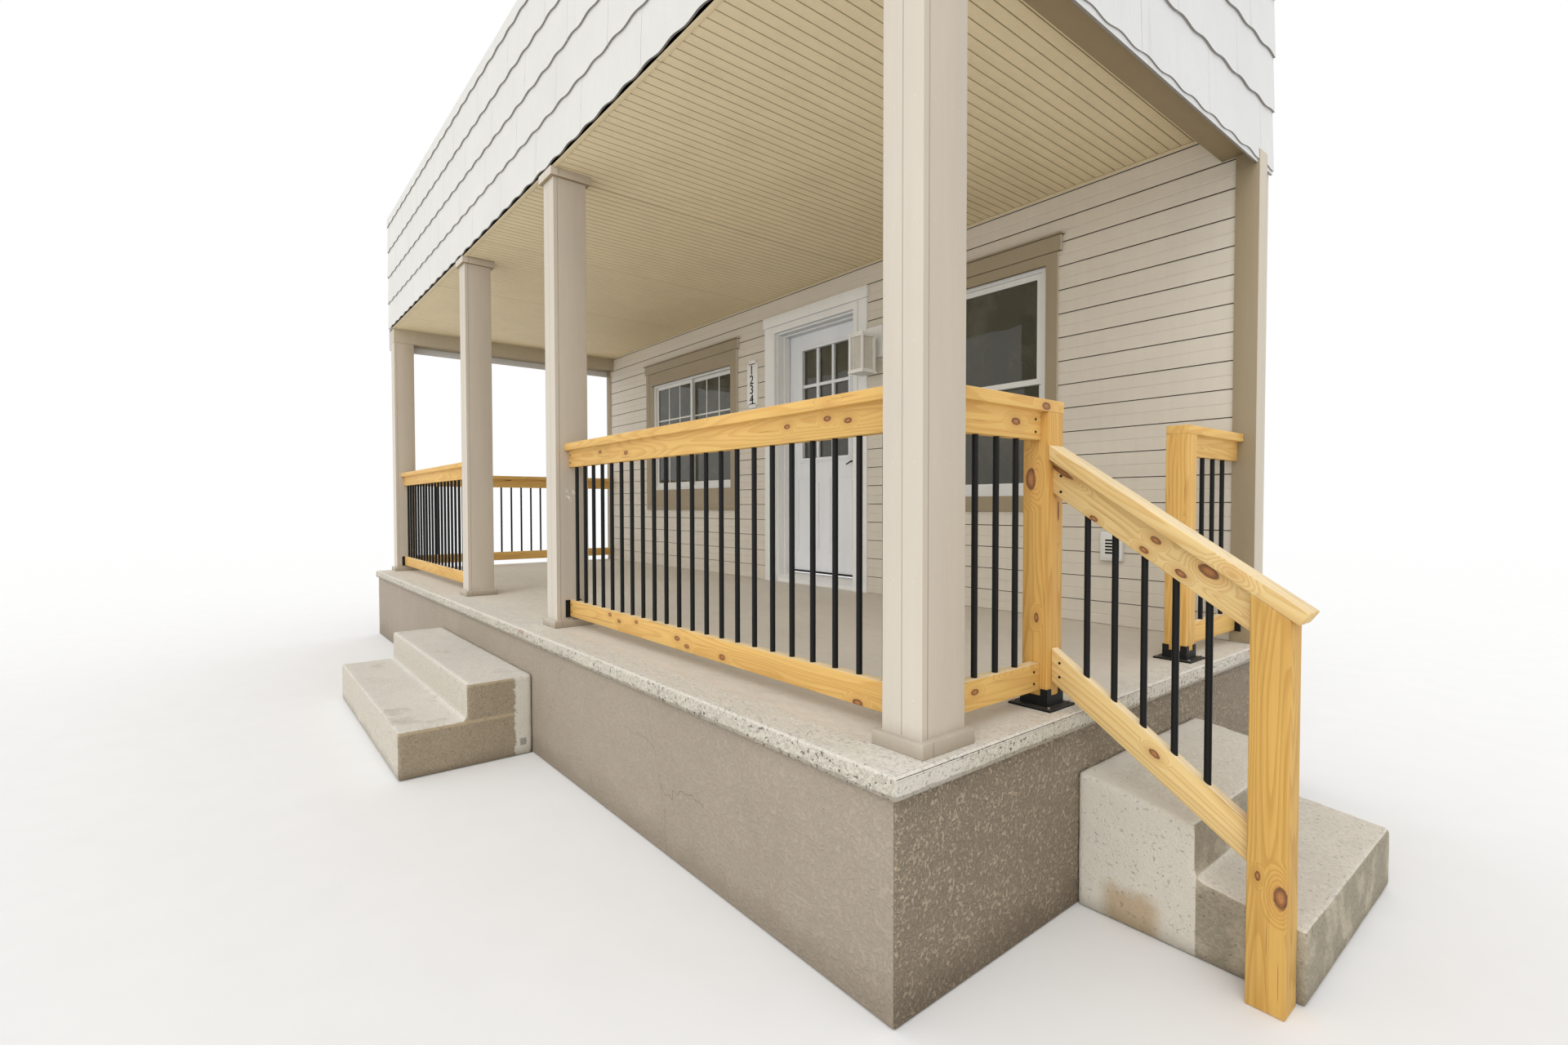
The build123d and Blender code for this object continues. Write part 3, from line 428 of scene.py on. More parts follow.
    @classmethod
    def make_grime(cls) -> bpy.types.NodeTree:
        """Cloudy dirt that gathers low down: a cloud, streaks and a foot mask."""
        inputs = {"Vector": None, "Foot": 0.0, "Rise": 0.2}
        tree, given, result = cls.start(Effect.GRIME, inputs, ["Cloud", "Streak", "Foot"])
        vector = given["Vector"]
        cloud = tree.noise(vector, 1.7, 6.0, 0.6, 0.3)
        streak = tree.drawn(vector, cls.streak_stretch, 4.0, 0.55)
        ragged = tree.scaled(tree.noise(vector, 5.0, 5.0, 0.6), -0.5, 1.0)
        top = tree.plus(given["Foot"], tree.times(given["Rise"], tree.plus(ragged, 0.5)))
        foot = tree.rest(tree.step(tree.split(vector)[2], given["Foot"], top))
        return cls.close(tree, result, {"Cloud": cloud, "Streak": streak, "Foot": foot})

    @classmethod
    def make_brush(cls) -> bpy.types.NodeTree:
        """Brushed paint, with Z along the strokes: stroke height, tone and small chips."""
        inputs = {"Vector": None, "Chips": 0.3}
        tree, given, result = cls.start(Effect.BRUSH, inputs, ["Height", "Tone", "Chip"])
        vector = given["Vector"]
        height = tree.drawn(vector, cls.stroke_stretch, 3.0, 0.6)
        tone = tree.drawn(vector, cls.paint_tone, 5.0, 0.6)
        level = tree.scaled(given["Chips"], 0.84, 0.64)
        chip = tree.step(tree.noise(vector, 38.0, 4.0, 0.65), level, tree.plus(level, 0.015))
        return cls.close(tree, result, {"Height": height, "Tone": tone, "Chip": chip})

    @classmethod
    def make_edge_band(cls) -> bpy.types.NodeTree:
        """Wavering band between two heights of a value."""
        inputs = {"Vector": None, "Value": 0.0, "Low": 0.0, "High": 1.0, "Waver": 0.02}
        tree, given, result = cls.start(Effect.EDGE_BAND, inputs, ["Band"])
        low, high, waver = given["Low"], given["High"], given["Waver"]
        drift = tree.scaled(tree.noise(given["Vector"], 14.0, 5.0, 0.65), -1.0, 1.0)
        moved = tree.plus(given["Value"], tree.times(drift, waver))
        soft = tree.times(waver, 0.35)
        rise = tree.step(moved, low, tree.plus(low, soft))
        fall = tree.step(moved, high, tree.plus(high, soft))
        return cls.close(tree, result, {"Band": tree.less(rise, fall)})


def shade(red: float, green: float, blue: float) -> Colour:
    """A colour from its 0 to 255 display values."""
    parts = [value / 255 for value in (red, green, blue)]
    red, green, blue = [v / 12.92 if v <= 0.04045 else ((v + 0.055) / 1.055) ** 2.4 for v in parts]
    return (red, green, blue, 1.0)


class Finish:
    """A material; each finish paints its own nodes."""

    name = "finish"

    def paint(self, tree: Tree, shader: Node) -> None:
        """Add the finish's nodes to a tree that holds only its shader."""
        raise NotImplementedError

    @staticmethod
    def coat(tree: Tree, shader: Node, base: Socket, rough: Socket, normal: Socket) -> None:
        """Feed the shader its colour, its roughness and its bumps."""
        for name, value in (("Base Color", base), ("Roughness", rough), ("Normal", normal)):
            tree.feed(shader.inputs[name], value)

    def make(self) -> Material:
        """Build the material."""
        material = bpy.data.materials.new(self.name)
        material.use_nodes = True
        tree = Tree(material.node_tree)
        shader = tree.add("ShaderNodeBsdfPrincipled")
        tree.add("ShaderNodeOutputMaterial", {"Surface": shader.outputs[0]})
        self.paint(tree, shader)
        return material


@dataclass(frozen=True)
class Stucco(Finish):
    """Painted render on the foundation, smoother in front and pebbly on the ends, with painted shade on the
    ends.
    """

    name: str = "foundation_stucco"
    front: Colour = shade(168, 156, 140)
    # Darker tone for the ends: painted shade on the faces turned from the light.
    side: Colour = shade(163, 148, 127)
    dirt: Colour = shade(105, 90, 70)
    scraped: Colour = shade(214, 206, 190)
    dirt_rise: float = 0.22
    fine: float = 130.0
    coarse: float = 34.0
    grit: float = 95.0
    wander: Point = (2.1, 2.7, 3.3)
    stray: float = 0.14
    crack_cells: float = 0.8
    crack_half: float = 0.0009
    scrape_stretch: Point = (3.0, 3.0, 60.0)
    scrape_turn: Point = (0, 0.5, 0)
    trowel_depth: float = 0.014
    coat_depth: float = 0.006
    pebble_depth: float = 0.007
    crack_depth: float = 0.001

    def cracks(self, tree: Tree, place: Socket) -> Socket:
        """Hair cracks that wander, in a few patches only."""
        parts = []
        for part, scale in zip(tree.split(tree.mapped(place, (1.0, 1.0, 0.7))), self.wander):
            drift = tree.scaled(tree.noise(place, scale, 4.0), -self.stray, self.stray)
            parts.append(tree.plus(part, drift))
        edges = tree.cells(tree.join(*parts), self.crack_cells, "DISTANCE_TO_EDGE").outputs["Distance"]
        line = tree.maths("LESS_THAN", edges, self.crack_half)
        return tree.times(line, tree.step(tree.noise(place, 1.3, 2.0), 0.56, 0.62))

    def paint(self, tree: Tree, shader: Node) -> None:
        """Clouded paint with painted shade on the ends, hair cracks, trowel bumps and a dirty foot."""
        place = tree.coords()
        ends = tree.facing(tree.size(tree.split(tree.normal())[0]))
        grime = tree.effect(Effect.GRIME, {"Vector": place, "Rise": self.dirt_rise}).outputs
        fine = tree.noise(place, self.fine, 4.0, 0.6)
        coarse = tree.noise(place, self.coarse, 5.0, 0.65)
        grit = tree.step(tree.noise(place, self.grit, 3.0, 0.6), 0.36, 0.62)
        crack = self.cracks(tree, place)
        streaks = tree.mapped(place, self.scrape_stretch, turn=self.scrape_turn)
        scrape = tree.step(tree.noise(streaks, 1.0, 4.0), 0.71, 0.75)
        # The ends take the darker tone: painted shade.
        base = tree.mix(ends, self.front, self.side)
        base = tree.vary(base, grime["Cloud"], 0.84, 1.14)
        base = tree.vary(base, fine, 0.9, 1.1)
        base = tree.vary(base, coarse, 0.93, 1.06)
        base = tree.mix(tree.scaled(ends, 0.25, 1.0), base, tree.vary(base, grit, 0.82, 1.09))
        base = tree.over(scrape, 0.35, base, self.scraped)
        base = tree.over(crack, 0.4, base, self.dirt)
        base = tree.over(grime["Foot"], tree.scaled(ends, 0.35, 0.6), base, self.dirt)
        trowel = tree.bump(tree.noise(place, 6.0, 5.0, 0.55), self.trowel_depth)
        smear = tree.bump(coarse, self.coat_depth, tree.scaled(ends, 0.35, 1.0), trowel)
        pebbles = tree.times(grit, tree.scaled(ends, 0.3, 1.0))
        rough = tree.bump(pebbles, self.pebble_depth, under=smear)
        normal = tree.bump(tree.rest(crack), self.crack_depth, under=rough)
        self.coat(tree, shader, base, tree.scaled(fine, 0.72, 0.95), normal)


@dataclass(frozen=True)
class SlabConcrete(Finish):
    """Porch slab: trowelled deck, exposed aggregate edge, one patched corner and rust."""

    name: str = "slab_concrete"
    deck: Colour = shade(218, 211, 199)
    edge: Colour = shade(200, 194, 180)
    # Dark colour in the pits: painted shade in the holes, with dirt.
    pitted: Colour = shade(84, 70, 56)
    patched: Colour = shade(212, 207, 196)
    rusted: Colour = shade(176, 120, 92)
    rust_spot: Colour = shade(150, 96, 60)
    # Darker band on the edge below the lip.
    lip_dirt: Colour = shade(112, 98, 78)
    worn: Colour = shade(222, 217, 206)
    stone: float = 0.007
    rim: float = -0.945
    corner: Point = (3.1938, -1.077, 0.64)
    patch_length: float = 0.25
    rust_rise: tuple[float, float] = (0.598, 0.632)
    spot_place: tuple[float, float, float] = (0.55, 0.585, 0.64)
    lip: float = 0.590
    strip: tuple[float, float] = (0.13, 0.08)
    beyond: float = -1.3

    def worn_edge(self, tree: Tree, place: Socket, stones: object, grime: object) -> Socket:
        """Aggregate edge with its patch, its rust and a darker band below its lip."""
        x, y, z = tree.split(place)
        right = tree.facing(tree.split(tree.normal())[0])
        edge = tree.vary(self.edge, stones["Tone"], 0.8, 1.16)
        # Pits darkened: painted shade in the holes, with dirt.
        edge = tree.over(stones["Pit"], 0.8, edge, self.pitted)
        edge = tree.vary(edge, grime["Cloud"], 0.82, 1.16)
        near = tree.band(place, y, -1.2, self.corner[1] + self.patch_length, 0.05)
        patched = tree.vary(self.patched, grime["Cloud"], 0.86, 1.08)
        edge = tree.over(tree.times(near, right), 0.85, edge, patched)
        blots = tree.step(tree.drawn(place, (2.2, 2.2, 9.0), 4.0), 0.52, 0.68)
        rusty = tree.times(blots, tree.step(z, *self.rust_rise))
        edge = tree.over(tree.times(rusty, right), 0.7, edge, self.rusted)
        at, low, high = self.spot_place
        spot = tree.times(tree.near(x, at, 0.015, 0.05), tree.step(z, low, high))
        edge = tree.over(spot, 0.6, edge, self.rust_spot)
        # The edge is darkened below the lip.
        return tree.over(tree.band(place, z, 0.4, self.lip, 0.012), 0.5, edge, self.lip_dirt)

    def paint(self, tree: Tree, shader: Node) -> None:
        """Deck by its upward face, stones on the edges, and marks by their places."""
        place = tree.coords()
        x, y, _ = tree.split(place)
        up = tree.facing(tree.split(tree.normal())[2])
        stones = tree.effect(Effect.STONES, {"Vector": place, "Size": self.stone, "Pits": 0.75}).outputs
        grime = tree.effect(Effect.GRIME, {"Vector": place, "Foot": 0.0, "Rise": 0.1}).outputs
        sand = tree.noise(place, 260.0, 3.0, 0.7)
        edge = self.worn_edge(tree, place, stones, grime)
        deck = tree.vary(self.deck, grime["Cloud"], 0.86, 1.1)
        deck = tree.vary(deck, sand, 0.94, 1.06)
        outer = tree.band(place, y, self.beyond, self.rim, 0.05)
        side = tree.step(x, *[self.corner[0] - width for width in self.strip])
        strip = tree.maths("MAXIMUM", outer, side)
        deck = tree.over(strip, 0.8, deck, tree.vary(self.worn, stones["Tone"], 0.86, 1.06))
        flat = tree.times(up, tree.less(0.85, tree.times(strip, 0.5)))
        depth = tree.times(stones["Height"], tree.rest(flat))
        normal = tree.bump(depth, 0.0045, under=tree.bump(tree.noise(place, 14.0, 5.0), 0.009))
        self.coat(tree, shader, tree.mix(up, edge, deck), tree.scaled(sand, 0.7, 0.95), normal)


@dataclass(frozen=True)
class StepConcrete(Finish):
    """Steps of exposed aggregate with painted bands beside the foundation."""

    name: str = "step_concrete"
    top: Colour = shade(217, 212, 202)
    riser: Colour = shade(205, 198, 184)
    # Darker tone for faces turned to +X: painted shade on the cheeks.
    cheek: Colour = shade(158, 144, 122)
    # Darker tone for the outer sides: painted shade with a moss tint.
    moss: Colour = shade(152, 143, 124)
    lime: Colour = shade(216, 210, 197)
    stain: Colour = shade(150, 134, 110)
    # Dark colour in the risers' pits: painted shade in the holes, with dirt.
    riser_pit: Colour = shade(96, 82, 66)
    form_line: Colour = shade(196, 176, 142)
    filled: Colour = shade(120, 118, 112)
    flat: Colour = shade(214, 207, 194)
    # Dark colour in the tops' pits: painted shade in the holes, with dirt.
    flat_pit: Colour = shade(104, 96, 84)
    scraped: Colour = shade(176, 152, 116)
    speck: Colour = shade(40, 36, 30)
    dry: Colour = shade(178, 168, 148)
    foot: Colour = shade(92, 80, 60)
    stone: float = 0.0065
    wall_front: float = -1.057
    side_near: float = -0.1825
    side_start: float = 3.1738
    treads: tuple[float, float] = (0.234, 0.416)
    hole: tuple[float, float] = (-0.05, 0.07)
    block_end: float = 3.5238
    between: float = 2.0

    def front_steps(self, tree: Tree, place: Socket, masks: dict, stones: object, grime: object) -> Socket:
        """Front steps: stained tops, stony risers, and cheeks limed beside the wall, elsewhere in a darker
        tone that is painted shade.

        Args:
            tree: the material's tree.
            place: object coordinates.
            masks: which way the surface looks, and the limed colour.
            stones: outputs of the stones.
            grime: outputs of the grime.

        Returns:
            Their colour.
        """
        _, y, z = tree.split(place)
        tops = tree.vary(self.top, grime["Cloud"], 0.82, 1.12)
        tops = tree.vary(tops, stones["Tone"], 0.9, 1.06)
        stain = tree.step(tree.noise(place, 3.4, 5.0, 0.65), 0.56, 0.7)
        tops = tree.over(stain, 0.35, tops, self.stain)
        risers = tree.vary(self.riser, stones["Tone"], 0.86, 1.08)
        # Pits darkened: painted shade in the holes, with dirt.
        risers = tree.over(stones["Pit"], 0.6, risers, self.riser_pit)
        # Cheeks take the darker tone: painted shade.
        cheeks = tree.vary(self.cheek, stones["Tone"], 0.82, 1.12)
        cheeks = tree.vary(cheeks, grime["Cloud"], 0.8, 1.15)
        for tread in self.treads:
            cheeks = tree.over(tree.near(z, tread - 0.012, 0.006, 0.006), 0.5, cheeks, self.form_line)
        stripe = tree.band(place, y, self.wall_front - 0.095, self.wall_front + 0.1, 0.035)
        cheeks = tree.mix(stripe, cheeks, masks["limed"])
        beside, height = self.hole
        across = tree.near(y, self.wall_front + beside, 0.012, 0.008)
        hole = tree.times(across, tree.near(z, height, 0.014, 0.008))
        cheeks = tree.over(hole, 0.7, cheeks, self.filled)
        return tree.mix(masks["up"], tree.mix(masks["right"], risers, cheeks), tops)

    def side_steps(self, tree: Tree, place: Socket, masks: dict, stones: object, grime: object) -> Socket:
        """Side steps: pale tops, a limed block with a rubbed patch, and outer sides in a darker mossy tone
        that is partly painted shade.

        Args:
            tree: the material's tree.
            place: object coordinates.
            masks: which way the surface looks, and the limed colour.
            stones: outputs of the stones.
            grime: outputs of the grime.

        Returns:
            Their colour.
        """
        x, y, z = tree.split(place)
        limed = masks["limed"]
        block = tree.maths("LESS_THAN", x, self.block_end + 0.002)
        band = tree.band(place, y, self.side_near - 0.2, self.side_near + 0.06, 0.03)
        inner = tree.band(place, x, self.side_start - 0.3, self.side_start + 0.06, 0.03)
        painted = tree.times(tree.maths("MAXIMUM", band, inner), block)
        flat = tree.vary(self.flat, stones["Tone"], 0.88, 1.06)
        # Pits darkened: painted shade in the holes, with dirt.
        flat = tree.over(stones["Pit"], 0.3, flat, self.flat_pit)
        flat = tree.vary(flat, grime["Cloud"], 0.84, 1.12)
        flat = tree.over(painted, 0.85, flat, limed)
        ragged = tree.plus(z, tree.scaled(tree.noise(place, 22.0, 4.0), -0.03, 0.03))
        lane = tree.near(x, self.side_start + 0.17, 0.05, 0.06)
        rubbed = tree.times(lane, tree.rest(tree.step(ragged, 0.08, 0.14)))
        near_side = tree.over(rubbed, 0.8, limed, self.scraped)
        specks = tree.step(tree.noise(place, 120.0, 3.0, 0.7), 0.70, 0.74)
        near_side = tree.over(specks, 0.8, near_side, self.speck)
        # Outer sides: painted shade with a moss tint, broken by drier patches.
        outer = tree.vary(self.moss, stones["Tone"], 0.82, 1.14)
        dry = tree.vary(self.dry, stones["Tone"], 0.88, 1.1)
        outer = tree.mix(tree.step(tree.noise(place, 9.0, 4.0), 0.45, 0.65), outer, dry)
        walls = tree.mix(tree.times(masks["ahead"], block), outer, near_side)
        return tree.mix(masks["up"], walls, flat)

    def paint(self, tree: Tree, shader: Node) -> None:
        """Front steps and side steps, told apart by where they stand."""
        place = tree.coords()
        face = tree.split(tree.normal())
        stones = tree.effect(Effect.STONES, {"Vector": place, "Size": self.stone, "Pits": 0.6}).outputs
        grime = tree.effect(Effect.GRIME, {"Vector": place, "Foot": 0.0, "Rise": 0.09}).outputs
        masks = {
            "up": tree.facing(face[2]),
            "right": tree.facing(face[0]),
            "ahead": tree.facing(tree.times(face[1], -1.0)),
            "limed": tree.vary(self.lime, grime["Cloud"], 0.84, 1.08),
        }
        front = self.front_steps(tree, place, masks, stones, grime)
        beside = self.side_steps(tree, place, masks, stones, grime)
        base = tree.mix(tree.maths("GREATER_THAN", tree.split(place)[0], self.between), front, beside)
        base = tree.over(grime["Foot"], 0.4, base, self.foot)
        height = tree.times(stones["Height"], tree.scaled(masks["up"], 1.0, 0.55))
        normal = tree.bump(height, 0.003, under=tree.bump(tree.noise(place, 12.0, 4.0), 0.005))
        self.coat(tree, shader, base, tree.scaled(stones["Tone"], 0.75, 0.95), normal)


@dataclass(frozen=True)
class PaintedBoard(Finish):
    """Brushed paint on boards: tones by face that paint light and shade, seams, dirt and filled nail heads."""

    name: str = "painted_board"
    # Tones for faces ahead, sideways and looking down: painted light and shade.
    ahead: Colour = shade(207, 198, 183)
    side: Colour = shade(192, 180, 163)
    under: Colour = shade(150, 132, 100)
    scuffed: Colour = shade(232, 230, 222)
    grubby: Colour = shade(110, 92, 66)
    seams: tuple[float, ...] = ()
    seam_half: float = 0.0008
    seam_foot: tuple[float, float] = (0.682, 0.6825)
    side_seam: float | None = None
    scuff: Point | None = None
    foot: float = -9.0
    foot_rise: float = 0.10
    nails: bool = True
    nail_lane: float = 0.035
    nail_rungs: float = 3.2
    nail_size: tuple[float, float] = (0.0025, 0.0045)
    chips: float = 0.25
    gloss: float = 0.5
    level: bool = False

    def seam_lines(self, tree: Tree, place: Socket, across: Socket) -> object:
        """Where boards meet, above the base trim only."""
        x, y, z = tree.split(place)
        line = 0.0
        clear = tree.times(tree.step(z, *self.seam_foot), tree.rest(across))
        for seam in self.seams:
            line = tree.maths("MAXIMUM", line, tree.times(tree.near(x, seam, self.seam_half, 0.001), clear))
        if self.side_seam is not None:
            beside = tree.times(tree.near(y, self.side_seam, 0.0009, 0.0012), across)
            line = tree.maths("MAXIMUM", line, beside)
        return line

    def nail_heads(self, tree: Tree, place: Socket, across: Socket) -> Socket:
        """Filled nail heads in two lanes, at even heights."""
        x, y, z = tree.split(place)
        lane = tree.maths("PINGPONG", tree.mix_part(across, x, y), 2 * self.nail_lane)
        rung = tree.size(tree.less(tree.maths("FRACT", tree.times(z, self.nail_rungs)), 0.5))
        wide = tree.maths("POWER", tree.size(tree.less(lane, self.nail_lane)), 2.0)
        tall = tree.maths("POWER", tree.maths("DIVIDE", rung, self.nail_rungs), 2.0)
        return tree.rest(tree.step(tree.maths("SQRT", tree.plus(wide, tall)), *self.nail_size))

    def scuff_mark(self, tree: Tree, place: Socket) -> Socket:
        """Scraped patch round one place."""
        x, y, z = tree.split(place)
        rub = tree.times(tree.near(y, self.scuff[1], 0.012, 0.035), tree.near(z, self.scuff[2], 0.012, 0.05))
        torn = tree.step(tree.noise(place, 48.0, 5.0, 0.75), 0.53, 0.56)
        return tree.times(rub, tree.times(tree.near(x, self.scuff[0], 0.01, 0.01), torn))

    def paint(self, tree: Tree, shader: Node) -> None:
        """Tone by the way the face looks, which paints light and shade, then seams, nail dots and chips."""
        place = tree.coords()
        face = tree.split(tree.normal())
        across = tree.facing(tree.size(face[0]))
        below = tree.facing(tree.times(face[2], -1.0))
        strokes = tree.mapped(place, turn=(0, QUARTER, 0)) if self.level else place
        brush = tree.effect(Effect.BRUSH, {"Vector": strokes, "Chips": self.chips}).outputs
        feeds = {"Vector": place, "Foot": self.foot, "Rise": self.foot_rise}
        grime = tree.effect(Effect.GRIME, feeds).outputs
        # Sideways and downward faces take their own tones: painted light and shade.
        base = tree.mix(across, self.ahead, self.side)
        base = tree.mix(below, base, self.under)
        base = tree.vary(base, brush["Tone"], 0.9, 1.08)
        base = tree.vary(base, grime["Streak"], 0.95, 1.04)
        dark = tree.tint(base, 0.55)
        line = self.seam_lines(tree, place, across)
        base = tree.over(line, 0.5, base, dark)
        nail = 0.0
        if self.nails:
            nail = self.nail_heads(tree, place, across)
            base = tree.over(nail, 0.35, base, tree.tint(base, 1.25))
        base = tree.over(brush["Chip"], 0.5, base, dark)
        if self.scuff is not None:
            base = tree.mix(self.scuff_mark(tree, place), base, self.scuffed)
        base = tree.over(grime["Foot"], 0.4, base, self.grubby)
        dips = tree.maths("MAXIMUM", tree.times(nail, 0.3), line)
        sunk = tree.less(tree.times(brush["Height"], 0.5), dips)
        normal = tree.bump(sunk, 0.0016, under=tree.bump(tree.noise(place, 9.0, 3.0), 0.0022))
        rough = tree.scaled(brush["Tone"], self.gloss - 0.08, self.gloss + 0.15)
        self.coat(tree, shader, base, rough, normal)


@dataclass(frozen=True)
class ShinglePaint(Finish):
    """Thickly painted shingles with vertical grain, chips, run stains and painted shade under the butts."""

    name: str = "shingle_paint"
    ahead: Colour = shade(219, 218, 213)
    side: Colour = shade(222, 222, 221)
    chipped: Colour = shade(46, 42, 38)
    stained: Colour = shade(170, 160, 140)
    # Dark tone for faces looking down: painted shade under the butts.
    under: Colour = shade(92, 84, 74)
    ridge_stretch: Point = (150.0, 150.0, 3.0)
    run_stretch: Point = (20.0, 20.0, 1.2)

    def paint(self, tree: Tree, shader: Node) -> None:
        """Grain ridges, clouded paint, chips, run stains and painted shade on faces looking down."""
        place = tree.coords()
        face = tree.split(tree.normal())
        across = tree.facing(tree.size(face[0]))
        ridges = tree.drawn(place, self.ridge_stretch, 4.0, 0.65)
        cloud = tree.noise(place, 2.2, 5.0, 0.6)
        base = tree.mix(across, self.ahead, self.side)
        base = tree.vary(base, cloud, 0.92, 1.06)
        base = tree.vary(base, ridges, 0.94, 1.04)
        chips = tree.step(tree.noise(place, 46.0, 4.0, 0.7), 0.715, 0.735)
        chips = tree.times(chips, tree.step(tree.noise(place, 2.0, 2.0), 0.5, 0.6))
        base = tree.over(chips, 0.85, base, self.chipped)
        run = tree.step(tree.drawn(place, self.run_stretch, 4.0), 0.6, 0.8)
        base = tree.over(run, 0.16, base, self.stained)
        # Faces looking down take the dark tone: painted shade under the butts.
        below = tree.step(tree.times(face[2], -1.0), 0.4, 0.7)
        base = tree.over(below, 0.75, base, self.under)
        normal = tree.bump(tree.less(ridges, chips), 0.0022, under=tree.bump(cloud, 0.004))
        self.coat(tree, shader, base, tree.scaled(ridges, 0.5, 0.75), normal)


@dataclass(frozen=True)
class Pine(Finish):
    """Sawn pine with growth lines, resinous knots and paler tops that are painted light."""

    name: str = "pine"
    grain: Grain = Grain.ALONG
    pale: Colour = shade(226, 184, 106)
    late: Colour = shade(204, 150, 74)
    # Pale tone for upward faces: painted light from above.
    bleach: Colour = shade(246, 226, 186)
    halo: Colour = shade(202, 142, 74)
    heart: Colour = shade(178, 118, 66)
    heart_edge: Colour = shade(108, 62, 36)
    bark: Colour = shade(78, 38, 24)
    checked: Colour = shade(120, 80, 40)
    knots: Knots = ()
    slope: float = 33.6
    lines: float = 19.0
    far: float = 9.0
    wild_stretch: Point = (1.5, 9.0, 9.0)
    wild_move: Point = (0.37, 0.2, 0.11)
    wild_radius: float = 0.062
    streak_stretch: Point = (0.9, 70.0, 70.0)
    check_stretch: Point = (2.4, 200.0, 200.0)

    def turn(self) -> tuple[str, float]:
        """Axis and angle that bring the fibres onto X."""
        turns = {
            Grain.ALONG: ("Y", 0.0),
            Grain.INWARD: ("Z", -QUARTER),
            Grain.UPRIGHT: ("Y", QUARTER),
            Grain.RAKING: ("Y", math.radians(-self.slope)),
        }
        return turns[self.grain]

    def knot_distance(self, tree: Tree, fibre: Socket) -> Socket:
        """Distance from the nearest knot, 1 at its rim: those that are named, and wild ones."""
        nearest = self.far
        axis, angle = self.turn()
        turn = Matrix.Rotation(angle, 3, axis)
        for x, y, z, radius in self.knots:
            feeds = {"Vector": fibre, "Heart": tuple(turn @ Vector((x, y, z))), "Radius": radius}
            nearest = tree.maths("MINIMUM", nearest, tree.effect(Effect.KNOT, feeds).outputs[0])
        wild = tree.cells(tree.mapped(fibre, self.wild_stretch, self.wild_move), 1.0).outputs["Distance"]
        wobble = tree.scaled(tree.noise(fibre, 40.0, 2.0), -0.2, 0.2)
        return tree.maths("MINIMUM", nearest, tree.plus(tree.maths("DIVIDE", wild, self.wild_radius), wobble))

    def knot_eye(self, tree: Tree, fibre: Socket, nearest: Socket) -> Socket:
        """Colour inside a knot: a dark edge, rings and mottling."""
        eye = tree.mix(tree.step(nearest, 0.15, 1.0), self.heart, self.heart_edge)
        rings = tree.step(tree.maths("FRACT", tree.times(nearest, 4.2)), 0.1, 0.9)
        eye = tree.vary(eye, rings, 0.8, 1.15)
        return tree.vary(eye, tree.noise(fibre, 160.0, 3.0, 0.7), 0.55, 1.4)

    def paint(self, tree: Tree, shader: Node) -> None:
        """Rings bent round every knot, drying checks and a paler upper face that is painted light."""
        axis, angle = self.turn()
        fibre = tree.mapped(tree.coords(), turn=(0, angle, 0) if axis == "Y" else (0, 0, angle))
        nearest = self.knot_distance(tree, fibre)
        rings = tree.effect(Effect.RINGS, {"Vector": fibre, "Knot": nearest, "Lines": self.lines}).outputs
        streak = tree.drawn(fibre, self.streak_stretch, 3.0, 0.6)
        base = tree.over(rings["Late"], 0.5, self.pale, self.late)
        base = tree.over(tree.step(streak, 0.45, 0.75), 0.4, base, self.late)
        base = tree.vary(base, rings["Tone"], 0.84, 1.12)
        base = tree.vary(base, rings["Fibre"], 0.93, 1.06)
        base = tree.over(tree.rest(tree.step(nearest, 0.9, 2.6)), 0.4, base, self.halo)
        core = tree.rest(tree.step(nearest, 0.82, 1.06))
        base = tree.over(core, 0.92, base, self.knot_eye(tree, fibre, nearest))
        broken = tree.scaled(tree.noise(fibre, 55.0, 2.0), 0.1, 1.3)
        base = tree.over(tree.near(nearest, 1.0, 0.04, 0.14), broken, base, self.bark)
        # Upward faces turn paler, except in the knots: painted light from above.
        top = tree.step(tree.split(tree.normal())[2], 0.6, 0.8)
        lit_top_tone = tree.vary(self.bleach, rings["Late"], 1.0, 0.9)
        keep = tree.rest(tree.times(core, 0.8))
        base = tree.over(tree.times(top, 0.8), keep, base, lit_top_tone)
        check = tree.step(tree.drawn(fibre, self.check_stretch, 2.0), 0.71, 0.75)
        base = tree.over(check, 0.45, base, self.checked)
        fuzz = tree.less(tree.times(rings["Fibre"], 0.5), check)
        normal = tree.bump(tree.plus(tree.times(rings["Late"], 0.35), fuzz), 0.0012)
        self.coat(tree, shader, base, tree.scaled(rings["Fibre"], 0.55, 0.78), normal)


@dataclass(frozen=True)
class SatinMetal(Finish):
    """Coated or plain metal with soft mottling and rubbed spots."""

    name: str = "satin_black"
    colour: Colour = shade(17, 18, 18)
    worn: Colour = shade(96, 94, 88)
    dusty: Colour = shade(150, 142, 126)
    metallic: float = 0.0
    gloss: float = 0.42
    wear: float = 0.12
    shine: float = 0.22

    def paint(self, tree: Tree, shader: Node) -> None:
        """Mottled coat, dusty upper faces and small worn spots."""
        place = tree.coords()
        cloud = tree.noise(place, 24.0, 5.0, 0.6)
        fine = tree.noise(place, 900.0, 2.0)
        base = tree.vary(self.colour, cloud, 0.72, 1.3)
        level = 0.1 * self.wear
        spots = tree.step(tree.noise(place, 60.0, 4.0, 0.7), 0.74 - level, 0.78 - level)
        base = tree.over(spots, self.wear, base, self.worn)
        upward = tree.step(tree.split(tree.normal())[2], 0.4, 0.9)
        base = tree.over(upward, tree.scaled(cloud, 0.02, 0.2), base, self.dusty)
        shader.inputs["Metallic"].default_value = self.metallic
        shader.inputs["Specular IOR Level"].default_value = self.shine
        normal = tree.bump(fine, 0.0002, under=tree.bump(cloud, 0.0006))
        self.coat(tree, shader, base, tree.scaled(cloud, self.gloss - 0.1, self.gloss + 0.16), normal)


